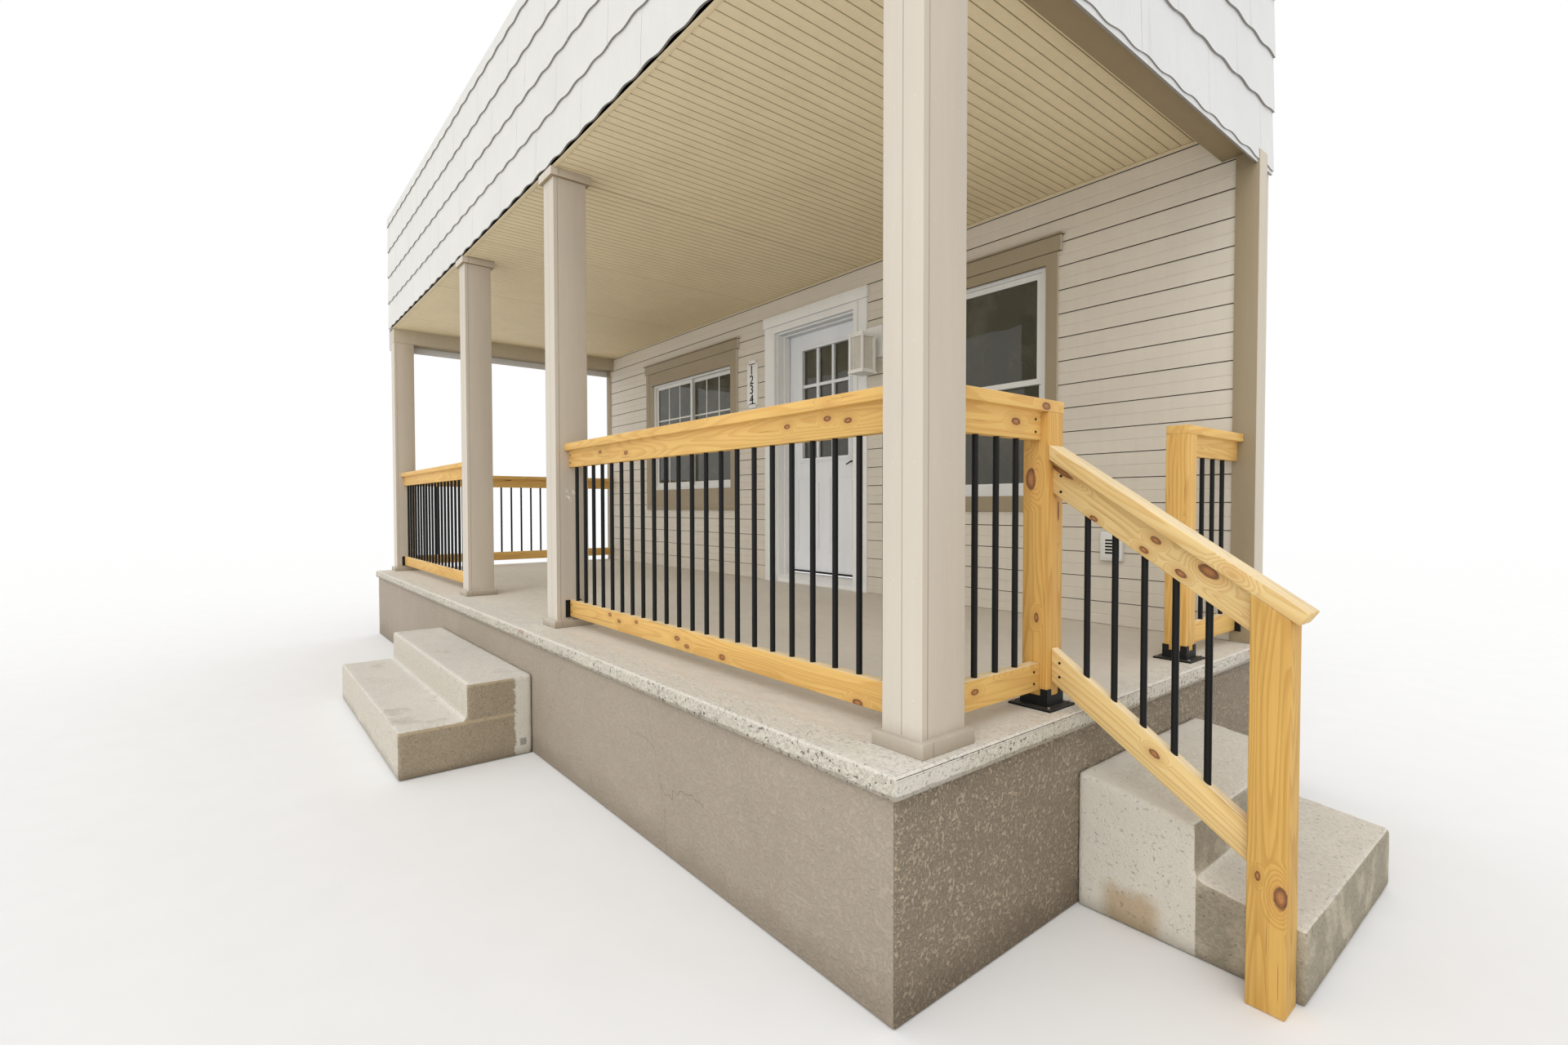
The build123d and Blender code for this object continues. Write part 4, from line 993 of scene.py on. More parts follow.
@dataclass(frozen=True)
class PaneGlass(Finish):
    """Window glass with a dusty film, whose dark tint paints the shade of the room behind."""

    name: str = "pane_glass"
    # Dark tint: painted shade of the unlit room behind the glass.
    colour: Colour = shade(76, 75, 63)
    dusty: Colour = shade(190, 186, 170)
    clear: float = 0.35
    bend: float = 1.5
    ribs: float = 0.0
    lantern: tuple[float, float] = (0.7442, 1.302)

    def paint(self, tree: Tree, shader: Node) -> None:
        """Tint, which on window glass is deep and paints the shade behind it, dust clouds and either float
        waves or upright ribs.
        """
        place = tree.coords()
        base = tree.vary(self.colour, tree.noise(place, 3.0, 5.0, 0.6), 0.7, 1.35)
        dust = tree.step(tree.noise(place, 5.0, 4.0, 0.5), 0.45, 0.8)
        base = tree.over(dust, 0.1, base, self.dusty)
        shader.inputs["Transmission Weight"].default_value = self.clear
        shader.inputs["IOR"].default_value = self.bend
        if self.ribs:
            x, y, _ = tree.split(place)
            turn = tree.maths("ARCTAN2", tree.less(y, self.lantern[1]), tree.less(x, self.lantern[0]))
            wave = tree.scaled(tree.maths("SINE", tree.times(turn, self.ribs)), 0.0, 1.0)
            # The tone follows the ribs' wave: painted shading across each rib.
            base, normal = tree.vary(base, wave, 0.75, 1.15), tree.bump(wave, 0.003)
        else:
            normal = tree.bump(tree.noise(place, 2.5, 2.0), 0.004, 0.4)
        self.coat(tree, shader, base, tree.scaled(dust, 0.02, 0.08), normal)


@dataclass(frozen=True)
class StudioFloor(Finish):
    """Pale floor that fades to the white background, and keeps the porch's shadow."""

    name: str = "studio_floor"
    near: float = 7.0
    far: float = 40.0

    def make(self) -> Material:
        """Diffuse floor that turns to plain white light with distance."""
        material = bpy.data.materials.new(self.name)
        material.use_nodes = True
        tree = Tree(material.node_tree)
        place = tree.coords()
        mottle = tree.scaled(tree.noise(place, 5.0, 4.0), 0.86, 0.9)
        floor = tree.add("ShaderNodeBsdfDiffuse", {"Color": tree.join(mottle, mottle, mottle)})
        white = tree.add("ShaderNodeEmission", {"Color": (1, 1, 1, 1), "Strength": 1.0})
        share = tree.times(tree.step(tree.length(place), self.near, self.far), tree.seen())
        mixed = tree.add("ShaderNodeMixShader", {0: share, 1: floor.outputs[0], 2: white.outputs[0]})
        tree.add("ShaderNodeOutputMaterial", {"Surface": mixed.outputs[0]})
        return material


@dataclass
class Studio:
    """Floor, soft lamps and pale sky round the porch."""

    floor_size: float = 240.0
    floor_drop: float = 0.001
    sky: float = 0.97
    lamp_colour: Point = (1.0, 0.99, 0.965)
    # Each lamp's name, strength, spread in degrees and the way that it shines from.
    lamps: tuple[tuple[str, float, float, Point], ...] = (
        ("sun", 0.55, 35, (0.42, -0.95, 1.05)),
        ("fill", 0.5, 70, (0.45, -1.0, 0.22)),
    )

    def make_floor(self) -> None:
        """Lay the floor just under the porch."""
        clear_selection()
        bpy.ops.mesh.primitive_plane_add(size=self.floor_size, location=(0, 0, -self.floor_drop))
        floor = bpy.context.object
        floor.name = "studio_floor"
        settle(floor)
        floor.data.materials.append(StudioFloor().make())

    def make_sky(self) -> None:
        """Pale sky that shows white behind the porch and in gloss."""
        world = bpy.data.worlds.new("studio")
        bpy.context.scene.world = world
        world.use_nodes = True
        tree = Tree(world.node_tree)
        light = tree.plus(self.sky, tree.times(tree.seen(), 1.0 - self.sky))
        sky = tree.add("ShaderNodeBackground", {"Color": (1, 1, 1, 1), "Strength": light})
        tree.add("ShaderNodeOutputWorld", {"Surface": sky.outputs[0]})

    def make(self) -> None:
        """Lay the floor, and set the world and the lamps."""
        self.make_floor()
        self.make_sky()
        for name, strength, spread, source in self.lamps:
            lamp = bpy.data.lights.new(name, "SUN")
            lamp.energy, lamp.angle, lamp.color = strength, math.radians(spread), self.lamp_colour
            light = bpy.data.objects.new(name, lamp)
            bpy.context.scene.collection.objects.link(light)
            light.matrix_world = facing(source)
        bpy.context.scene.view_settings.view_transform = "Standard"
        log.info("studio: floor, sky and %d lamps", len(self.lamps))


def facing(way: Point) -> Matrix:
    """Turn that points +Z along a direction."""
    return Vector(way).to_track_quat("Z", "Y").to_matrix().to_4x4()


def clear_selection() -> None:
    """Deselect everything in the scene."""
    if bpy.context.mode != "OBJECT":
        bpy.ops.object.mode_set(mode="OBJECT")
    bpy.ops.object.select_all(action="DESELECT")


def pick(piece: Piece) -> Piece:
    """Select one piece alone and make it the active one."""
    clear_selection()
    piece.select_set(True)
    bpy.context.view_layer.objects.active = piece
    return piece


def settle(piece: Piece) -> Piece:
    """Put a piece's place, turn and scale in its mesh."""
    pick(piece)
    bpy.ops.object.transform_apply(location=True, rotation=True, scale=True)
    return piece


def modify(piece: Piece, kind: str, **settings: object) -> Piece:
    """Add a modifier to a piece and apply it."""
    pick(piece)
    modifier = piece.modifiers.new(kind.lower(), kind)
    for name, value in settings.items():
        setattr(modifier, name, value)
    bpy.ops.object.modifier_apply(modifier=modifier.name)
    return piece


def rounded(piece: Piece, width: float, segments: int = 2, **settings: object) -> Piece:
    """Bevel a piece's sharp edges."""
    return modify(piece, "BEVEL", width=width, segments=segments, limit_method="ANGLE", **settings)


def repeated(piece: Piece, count: int, step: Point) -> Piece:
    """Repeat a piece along a step."""
    offset = {"use_relative_offset": False, "use_constant_offset": True, "constant_offset_displace": step}
    return modify(piece, "ARRAY", count=count, **offset)


def block(name: str, low: Point, high: Point, ease: float = 0.0, segments: int = 2) -> Piece:
    """Block between two corners, with eased edges.

    Args:
        name: the piece's name.
        low: its lowest corner.
        high: its highest corner.
        ease: width of the bevel on its edges.
        segments: faces across that bevel.

    Returns:
        The piece.
    """
    clear_selection()
    centre = [(a + b) / 2 for a, b in zip(low, high)]
    bpy.ops.mesh.primitive_cube_add(size=1, location=centre)
    piece = bpy.context.object
    piece.name = piece.data.name = name
    piece.scale = [b - a for a, b in zip(low, high)]
    settle(piece)
    if ease:
        rounded(piece, ease, segments, use_clamp_overlap=True)
    return piece


def edit(piece: Piece) -> None:
    """Open a piece in edit mode with all of it selected."""
    pick(piece)
    bpy.ops.object.mode_set(mode="EDIT")
    bpy.ops.mesh.select_mode(type="VERT")
    bpy.ops.mesh.select_all(action="SELECT")


def shift(piece: Piece, wanted: Callable[[Vector], bool], move: Point) -> None:
    """Move the vertices of a piece whose place passes a test.

    Args:
        piece: the piece.
        wanted: test that a vertex's place must pass.
        move: how far they go.
    """
    edit(piece)
    bpy.ops.mesh.select_all(action="DESELECT")
    bpy.ops.object.mode_set(mode="OBJECT")
    for vertex in piece.data.vertices:
        vertex.select = bool(wanted(vertex.co))
    bpy.ops.object.mode_set(mode="EDIT")
    bpy.ops.transform.translate(value=move)
    bpy.ops.object.mode_set(mode="OBJECT")


def cut(piece: Piece, place: Point, away: Point, clear: bool = True) -> None:
    """Bisect a piece, and clear what lies on the side that away points to."""
    edit(piece)
    bpy.ops.mesh.bisect(plane_co=place, plane_no=away, clear_outer=clear, use_fill=clear)
    bpy.ops.object.mode_set(mode="OBJECT")


def copy_to(piece: Piece, matrix: Matrix) -> Piece:
    """Copy of a piece with its own mesh, put in its place."""
    twin = piece.copy()
    twin.data = piece.data.copy()
    bpy.context.scene.collection.objects.link(twin)
    twin.matrix_world = matrix
    return settle(twin)


def node_copy(frame: dict, node: str, name: str) -> Piece:
    """Copy of a carried-over node with its triangles' corners merged, left in edit mode."""
    piece = bpy.data.objects.new(name, frame["nodes"][node].data.copy())
    bpy.context.scene.collection.objects.link(piece)
    edit(piece)
    bpy.ops.mesh.remove_doubles(threshold=MERGE)
    return piece


def joined(name: str, pieces: list[Piece]) -> Piece:
    """Join pieces into one, under a name."""
    clear_selection()
    for piece in pieces:
        piece.select_set(True)
    bpy.context.view_layer.objects.active = pieces[0]
    if len(pieces) > 1:
        bpy.ops.object.join()
    pieces[0].name = pieces[0].data.name = name
    return pieces[0]


def dress(piece: Piece, material: Material, body: str = "porch", smooth: float = 40.0) -> Piece:
    """Give a new piece its finish and the body that it rides on.

    Args:
        piece: the piece.
        material: its finish.
        body: the body that carries it.
        smooth: angle below which its faces are shaded smooth.

    Returns:
        The piece.
    """
    piece.data.materials.clear()
    piece.data.materials.append(material)
    pick(piece)
    bpy.ops.object.shade_smooth_by_angle(angle=math.radians(smooth))
    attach(piece, body)
    log.info("%s: %d faces", piece.name, len(piece.data.polygons))
    return piece


def eased(frame: dict, node: str, width: float, material: Material) -> Piece:
    """Copy of a node with its edges eased, standing for the node.

    Args:
        node: the node's name.
        width: width of the bevel.
        material: the copy's finish.

    Returns:
        The piece.
    """
    piece = node_copy(frame, node, node + "_eased")
    bpy.ops.mesh.dissolve_limited(angle_limit=math.radians(2))
    bpy.ops.object.mode_set(mode="OBJECT")
    rounded(piece, width, angle_limit=math.radians(35), use_clamp_overlap=True)
    body = body_of(frame["nodes"][node])
    dress(piece, material, body if isinstance(body, str) else "porch")
    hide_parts(node)
    return piece


@dataclass
class Railings:
    """Pine rails, caps and posts, each with the grain of its own direction."""

    ease: float = 0.003

    def runs(self) -> list[tuple[str, Pine]]:
        """Each timber node with its finish."""
        raked = {"pale": shade(232, 202, 140), "late": shade(204, 158, 88), "knots": KNOTS_RAKE}
        front_post = {"pale": shade(216, 170, 90), "late": shade(186, 128, 54), "knots": KNOTS_POST}
        rear_post = {"pale": shade(224, 180, 100), "late": shade(196, 140, 62), "knots": KNOTS_POST}
        newel = {"pale": shade(214, 170, 88), "late": shade(182, 132, 56), "knots": KNOTS_NEWEL}
        return [
            ("railing_front_right", Pine("pine_front_right", Grain.ALONG, knots=KNOTS_FRONT)),
            ("railing_front_left", Pine("pine_front_left", Grain.ALONG)),
            ("railing_side_left", Pine("pine_side_left", Grain.INWARD)),
            ("railing_side_front", Pine("pine_side_front", Grain.INWARD, knots=KNOTS_SIDE)),
            ("railing_side_rear", Pine("pine_side_rear", Grain.INWARD)),
            ("stair_rail", Pine("pine_stair_rail", Grain.RAKING, **raked)),
            ("post_front", Pine("pine_post_front", Grain.UPRIGHT, **front_post)),
            ("post_rear", Pine("pine_post_rear", Grain.UPRIGHT, **rear_post)),
            ("newel_post", Pine("pine_newel", Grain.UPRIGHT, **newel)),
        ]

    def make(self, frame: dict) -> None:
        """Ease the edges of every timber and give it its grain."""
        for node, finish in self.runs():
            eased(frame, node, self.ease, finish.make())


@dataclass
class Siding:
    """Lapped boards on the wall behind the porch."""

    wall: float = 1.46
    proud: float = 0.011
    pitch: float = 0.1356
    first_joint: float = 2.795
    left: float = -3.74
    right: float = 3.095
    bottom: float = 0.64
    top: float = 3.08
    lip: float = 0.0045
    groove_half: float = 0.004
    bevel: float = 0.003
    undercut: float = 0.006
    groove: float = 0.0024
    back_slope: float = 0.003
    deck_gap: float = 0.002
    least: float = 0.08
    smooth: float = 0.1
    # Each bay's left and right, and the bottom and top of what it leaves open, 0 for a whole bay.
    bays: tuple[Span, ...] = (
        (-3.72, -2.727, 0.0, 0.0),
        (-2.727, -1.027, 1.275, 2.826),
        (-1.027, -0.563, 0.0, 0.0),
        (-0.563, 0.637, 0.6, 2.905),
        (0.637, 1.129, 0.0, 0.0),
        (1.129, 2.151, 1.275, 2.826),
        (2.151, 3.075, 0.0, 0.0),
    )

    def board(self, start: float) -> Piece:
        """One board with a shallow groove at half its height and an undercut joint, repeated up the wall."""
        front, lap = self.wall - self.proud, self.pitch / 2
        board = block("board", (self.left, front, start), (self.right, self.wall, start + self.pitch))
        groove = (lap - self.groove_half, lap, lap + self.groove_half)
        for height in (self.lip, *groove, self.pitch - self.bevel):
            cut(board, (0, 0, start + height), (0, 0, 1), clear=False)
        for height, inward in ((0.0, self.undercut), (lap, self.groove), (self.pitch, self.back_slope)):
            level = start + height
            shift(board, lambda v: v.y < self.wall - CLOSE and abs(v.z - level) < CLOSE, (0, inward, 0))
        return repeated(board, math.ceil((self.top - start) / self.pitch), (0, 0, self.pitch))

    def make(self, material: Material) -> None:
        """Cut the boards into bays that stop behind the trims and the casing."""
        start = self.first_joint - self.pitch * math.ceil((self.first_joint - self.bottom) / self.pitch)
        boards = self.board(start)
        cut(boards, (0, 0, self.top), (0, 0, 1))
        cut(boards, (0, 0, self.bottom + self.deck_gap), (0, 0, -1))
        pieces = []
        for x0, x1, z0, z1 in self.bays:
            for low, high in ((self.bottom, z0), (z1, self.top)):
                if high - low < self.least:
                    continue
                part = copy_to(boards, Matrix())
                cut(part, (x1, 0, 0), (1, 0, 0))
                cut(part, (x0, 0, 0), (-1, 0, 0))
                if high < self.top:
                    cut(part, (0, 0, high), (0, 0, 1))
                if low > self.bottom:
                    cut(part, (0, 0, low), (0, 0, -1))
                pieces.append(part)
        bpy.data.objects.remove(boards)
        dress(joined("siding_boards", pieces), material, smooth=self.smooth)


@dataclass
class Shingles:
    """Courses of wavy-butted shingle panels on the wall above the porch."""

    width: float = 0.61
    gap: float = 0.003
    wave: float = 0.203
    phases: int = 8
    columns: int = 24
    swing: float = 0.006
    butt: float = 0.010
    back_gap: float = 0.001
    overlap: float = 0.012
    top: float = 4.2
    front: float = -0.931
    side: float = 3.1558
    side_left: float = -3.7682
    back: float = 1.635
    front_courses: tuple[float, ...] = (3.092, 3.348, 3.604, 3.86, 4.116)
    side_courses: tuple[float, ...] = (2.896, 3.168, 3.434, 3.70, 3.966)
    starts: tuple[float, ...] = (0.05, 0.36, 0.21, 0.50, 0.13)
    strip_foot: float = 2.876
    strip_top: float = 2.96
    strip_in: float = 0.006
    strip_out: float = 0.004
    strip_ease: float = 0.001
    smooth: float = 4.0

    def panel_row(self, height: float, count: int) -> Piece:
        """Row of panels that face -Y, from the origin along +X, hanging below height."""
        clear_selection()
        bpy.ops.mesh.primitive_grid_add(
            x_subdivisions=self.columns,
            y_subdivisions=1,
            size=1,
            location=(self.width / 2, 0, height / 2),
            rotation=(QUARTER, 0, 0),
        )
        panel = bpy.context.object
        panel.scale = (self.width - self.gap, height, 1)
        settle(panel)
        turns = self.phases / self.wave
        for phase in range(self.phases):
            lift = self.swing * math.sin(2 * math.pi * phase / self.phases)
            near = lambda v: abs(v.z) < CLOSE and round(v.x * turns) % self.phases == phase
            shift(panel, near, (0, 0, lift))
        shift(panel, lambda v: v.z < height / 2, (0, -self.butt, 0))
        edit(panel)
        inward = (0, self.butt - self.back_gap, 0)
        bpy.ops.mesh.extrude_region_move(TRANSFORM_OT_translate={"value": inward})
        bpy.ops.mesh.select_all(action="SELECT")
        bpy.ops.mesh.normals_make_consistent(inside=False)
        bpy.ops.object.mode_set(mode="OBJECT")
        return repeated(panel, count, (self.width, 0, 0))

    def wall(
        self,
        name: str,
        courses: tuple[float, ...],
        length: float,
        place: Point,
        turn: float,
        material: Material,
    ) -> Piece:
        """Cover a wall.

        Args:
            name: the piece's name.
            courses: heights of the butts.
            length: how long the wall is.
            place: its left end as seen from outside.
            turn: which way it faces, from -Y.
            material: its finish.

        Returns:
            The piece.
        """
        pitch = courses[1] - courses[0]
        row = self.panel_row(pitch + self.overlap, math.ceil(length / self.width) + 2)
        spots = [(-self.width - start, 0, height) for start, height in zip(self.starts, courses)]
        rows = [copy_to(row, Matrix.Translation(spot)) for spot in spots]
        bpy.data.objects.remove(row)
        piece = joined(name, rows)
        cut(piece, (0, 0, 0), (-1, 0, 0))
        cut(piece, (length, 0, 0), (1, 0, 0))
        cut(piece, (0, 0, self.top), (0, 0, 1))
        piece.matrix_world = Matrix.Translation(place) @ Matrix.Rotation(math.radians(turn), 4, "Z")
        settle(piece)
        return dress(piece, material, smooth=self.smooth)

    def strip(self, name: str, low: float, high: float, material: Material) -> Piece:
        """Strip that hangs below a side beam, between two distances along X."""
        corners = (low, self.front, self.strip_foot), (high, self.back, self.strip_top)
        return dress(block(name, *corners, self.strip_ease), material)

    def make(self, material: Material) -> None:
        """Front and both sides, with the strips that hang below the beams."""
        left, right = self.side_left, self.side
        depth = self.back - self.front
        self.wall("front_shingles", self.front_courses, right - left, (left, self.front, 0), 0, material)
        self.wall("right_shingles", self.side_courses, depth, (right, self.front, 0), 90, material)
        self.wall("left_shingles", self.side_courses, depth, (left, self.back, 0), -90, material)
        self.strip("right_starter_strip", right - self.strip_in, right + self.strip_out, material)
        self.strip("left_starter_strip", left - self.strip_out, left + self.strip_in, material)


@dataclass
class BeadedCeiling:
    """Ribbed ceiling boards that run into the porch."""

    left: float = -3.6162
    right: float = 3.0038
    front: float = -0.905
    beam_face: float = -0.931
    back: float = 1.46
    bottom: float = 3.08
    top: float = 3.1
    pitch: float = 0.055
    gap: float = 0.0012
    rounding: float = 0.007
    lid: float = 0.009
    rib_cut: float = 0.008
    wall_gap: float = 0.03
    wall_trim: float = 0.032
    side_trim: float = 0.028
    trim_drop: float = 0.004
    front_drop: float = 0.002
    trim_rise: float = 0.01
    trim_ease: float = 0.002

    def make_ribs(self) -> Piece:
        """One rib with eased lower edges, repeated across."""
        count = int((self.right - self.left) / self.pitch)
        start = self.left + (self.right - self.left - count * self.pitch) / 2
        low = (start + self.gap / 2, self.front, self.bottom)
        high = (start + self.pitch - self.gap / 2, self.back - self.wall_gap, self.top)
        rib = rounded(block("beaded_ceiling", low, high), self.rounding)
        cut(rib, (0, 0, self.top - self.rib_cut), (0, 0, 1))
        return repeated(rib, count, (self.pitch, 0, 0))

    def make_borders(self) -> list[Piece]:
        """Flat trims along the front beam, the wall and both side beams."""
        drop, rise = self.bottom - self.trim_drop, self.bottom + self.trim_rise
        corners = [
            ((self.left, self.beam_face, self.bottom - self.front_drop), (self.right, self.front, self.top)),
            ((self.left, self.back - self.wall_trim, drop), (self.right, self.back, rise)),
            ((self.left, self.front, drop), (self.left + self.side_trim, self.back, rise)),
            ((self.right - self.side_trim, self.front, drop), (self.right, self.back, rise)),
        ]
        return [block("edge", low, high, self.trim_ease) for low, high in corners]

    def make(self, material: Material) -> None:
        """Ribs, the lid above them and the borders, standing for the flat ceiling."""
        rib = self.make_ribs()
        lid = block("lid", (self.left, self.front, self.top - self.lid), (self.right, self.back, self.top))
        piece = joined("beaded_ceiling", [rib, lid, *self.make_borders()])
        dress(piece, material)
        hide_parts("porch_ceiling")


@dataclass
class Grids:
    """Bars on the door's and the slider's panes."""

    door_bar: float = 0.028
    sash_bar: float = 0.016
    bar_ease: float = 0.22
    crossing: float = 0.0006
    inset: float = 0.002
    touch: float = 0.001
    pane_x: tuple[float, float] = (-0.2427, 0.3163)
    pane_z: tuple[float, float] = (1.697, 2.611)
    moulding: float = 0.026
    moulding_out: float = 0.005
    moulding_in: float = 0.004
    moulding_ease: float = 0.006
    sash_out: float = 0.004

    def lattice(self, name: str, low: Vector, high: Vector, bar: float, front: float, back: float) -> Piece:
        """Two upright and two level bars over a pane, between two depths."""
        bars = []
        half, ease = bar / 2, bar * self.bar_ease
        for k in (1, 2):
            x = low.x + (high.x - low.x) * k / 3
            z = low.z + (high.z - low.z) * k / 3
            behind = front + self.crossing
            bars.append(block("bar", (x - half, front, low.z), (x + half, back, high.z), ease))
            bars.append(block("bar", (low.x, behind, z - half), (high.x, back, z + half), ease))
        return joined(name, bars)

    def rim(self, name: str, low: Vector, high: Vector, front: float, back: float) -> Piece:
        """Raised moulding round a pane, between two depths."""
        width = self.moulding
        foot, head = low.z - width, high.z + width
        spans = (
            (low.x - width, low.x, foot, head),
            (high.x, high.x + width, foot, head),
            (low.x, high.x, foot, low.z),
            (low.x, high.x, high.z, head),
        )
        ends = [((x0, front, z0), (x1, back, z1)) for x0, x1, z0, z1 in spans]
        return joined(name, [block("rim", *pair, self.moulding_ease, 3) for pair in ends])

    def make_door(self, door: Material) -> None:
        """Bars on both faces of the door's pane, and the moulding round it outside."""
        glass_low, glass_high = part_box("door_glass")
        leaf_low, leaf_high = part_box("door_leaf")
        low = Vector((self.pane_x[0], glass_low.y, self.pane_z[0]))
        high = Vector((self.pane_x[1], glass_high.y, self.pane_z[1]))
        faces = (
            ("door_bars_outside", leaf_low.y + self.inset, low.y + self.touch),
            ("door_bars_inside", high.y - self.touch, leaf_high.y - self.inset),
        )
        for name, front, back in faces:
            dress(self.lattice(name, low, high, self.door_bar, front, back), door, "door")
        front, back = leaf_low.y - self.moulding_out, leaf_low.y + self.moulding_in
        dress(self.rim("door_pane_moulding", low, high, front, back), door, "door")

    def make_sashes(self, frame: dict, sash: Material) -> None:
        """Bars on each sash of the slider."""
        places = [v.co for v in frame["nodes"]["window_left_glass"].data.vertices]
        middle = (min(v.x for v in places) + max(v.x for v in places)) / 2
        halves = (
            ("left_sash_bars", [v for v in places if v.x < middle]),
            ("right_sash_bars", [v for v in places if v.x > middle]),
        )
        for name, half in halves:
            low, high = corners(half)
            bars = self.lattice(name, low, high, self.sash_bar, low.y - self.sash_out, low.y + self.touch)
            dress(bars, sash)

    def make(self, frame: dict, door: Material, sash: Material) -> None:
        """Bars on the door's pane, then on the slider's."""
        self.make_door(door)
        self.make_sashes(frame, sash)


def corners(places: list[Vector]) -> list[Vector]:
    """Lowest and highest corner of a set of places."""
    return [Vector([end(place[i] for place in places) for i in range(3)]) for end in (min, max)]


@dataclass
class WallFittings:
    """Number plaque and outlet cover on the siding, and the sweep on the door."""

    wall: float = 1.449
    seat: float = 0.004
    plaque: Span = (-0.849, -0.693, 2.173, 2.605)
    plaque_proud: float = 0.012
    plaque_shoulder: float = 0.03
    plaque_neck: float = 0.028
    plaque_ease: float = 0.004
    face_inset: tuple[float, float] = (0.012, 0.042)
    face_proud: float = 0.016
    face_back: float = 0.01
    face_ease: float = 0.003
    digits: str = "1234"
    digit_size: float = 0.115
    digit_depth: float = 0.002
    digit_pitch: float = 0.087
    digit_first: float = 0.13
    digit_proud: float = 0.0175
    outlet: Span = (2.438, 2.56, 0.99, 1.149)
    cover_proud: float = 0.03
    cover_ease: float = 0.008
    lip_inset: tuple[float, float] = (0.012, 0.014)
    lip_proud: float = 0.036
    lip_back: float = 0.028
    lip_ease: float = 0.004
    slots: int = 5
    slot_pitch: float = 0.017
    slot_first: float = 0.04
    slot_height: float = 0.01
    slot_inset: float = 0.034
    slot_proud: float = 0.0375
    slot_ease: float = 0.002
    sweep_end: float = 0.004
    sweep_out: float = 0.003
    sweep_in: float = 0.004
    sweep_foot: float = 0.001
    sweep_height: float = 0.017
    sweep_lip: float = 0.009
    sweep_ease: float = 0.0015

    def panel(self, span: Span, inset: tuple[float, float], depth: tuple[float, float]) -> tuple[Point, Point]:
        """Corners of a plate on the wall.

        Args:
            span: left, right, bottom and top of what it lies in.
            inset: how far it stays inside that, sideways and upwards.
            depth: how far its face and its back stand out of the wall.

        Returns:
            Its lowest and its highest corner.
        """
        x0, x1, z0, z1 = span
        across, up = inset
        front, back = depth
        return (x0 + across, self.wall - front, z0 + up), (x1 - across, self.wall - back, z1 - up)

    def make_plaque(self, white: Material, black: Material) -> None:
        """Stepped white plate with plain digits one above another."""
        depth = (self.plaque_proud, -self.seat)
        plate = self.panel(self.plaque, (0.0, self.plaque_shoulder), depth)
        ends = self.panel(self.plaque, (self.plaque_neck, 0.0), depth)
        face = self.panel(self.plaque, self.face_inset, (self.face_proud, self.face_back))
        parts = [
            block("plate", *plate, self.plaque_ease),
            block("ends", *ends, self.plaque_ease),
            block("face", *face, self.face_ease),
        ]
        dress(joined("number_plaque", parts), white)
        x0, x1, _, top = self.plaque
        upright = Matrix.Rotation(QUARTER, 4, "X")
        figures = []
        for i, digit in enumerate(self.digits):
            curve = bpy.data.curves.new("digit", "FONT")
            curve.body, curve.size, curve.extrude = digit, self.digit_size, self.digit_depth
            curve.align_x = "CENTER"
            text = bpy.data.objects.new("digit", curve)
            bpy.context.scene.collection.objects.link(text)
            pick(text)
            bpy.ops.object.convert(target="MESH")
            height = top - self.digit_first - i * self.digit_pitch
            place = ((x0 + x1) / 2, self.wall - self.digit_proud, height)
            text.matrix_world = Matrix.Translation(place) @ upright
            figures.append(settle(text))
        dress(joined("plaque_digits", figures), black)

    def make_outlet(self, white: Material, dark: Material) -> None:
        """Weather cover with a slotted insert."""
        cover = self.panel(self.outlet, (0.0, 0.0), (self.cover_proud, -self.seat))
        lip = self.panel(self.outlet, self.lip_inset, (self.lip_proud, self.lip_back))
        parts = [block("cover", *cover, self.cover_ease, 3), block("lip", *lip, self.lip_ease)]
        dress(joined("outlet_cover", parts), white)
        x0, x1, z0, _ = self.outlet
        slots = []
        for k in range(self.slots):
            foot = z0 + self.slot_first + k * self.slot_pitch
            span = (x0, x1, foot, foot + self.slot_height)
            slot = self.panel(span, (self.slot_inset, 0.0), (self.slot_proud, self.cover_proud))
            slots.append(block("slot", *slot, self.slot_ease))
        dress(joined("outlet_slots", slots), dark)

    def make_sweep(self, black: Material) -> None:
        """Rubber sweep across the foot of the door."""
        leaf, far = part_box("door_leaf")
        low = (leaf.x + self.sweep_end, leaf.y - self.sweep_out, leaf.z + self.sweep_foot)
        high = (far.x - self.sweep_end, leaf.y + self.sweep_in, leaf.z + self.sweep_height)
        sweep = block("door_sweep", low, high, self.sweep_ease)
        cut(sweep, (0, 0, leaf.z + self.sweep_lip), (0, 0, 1), clear=False)
        dress(sweep, black, "door")


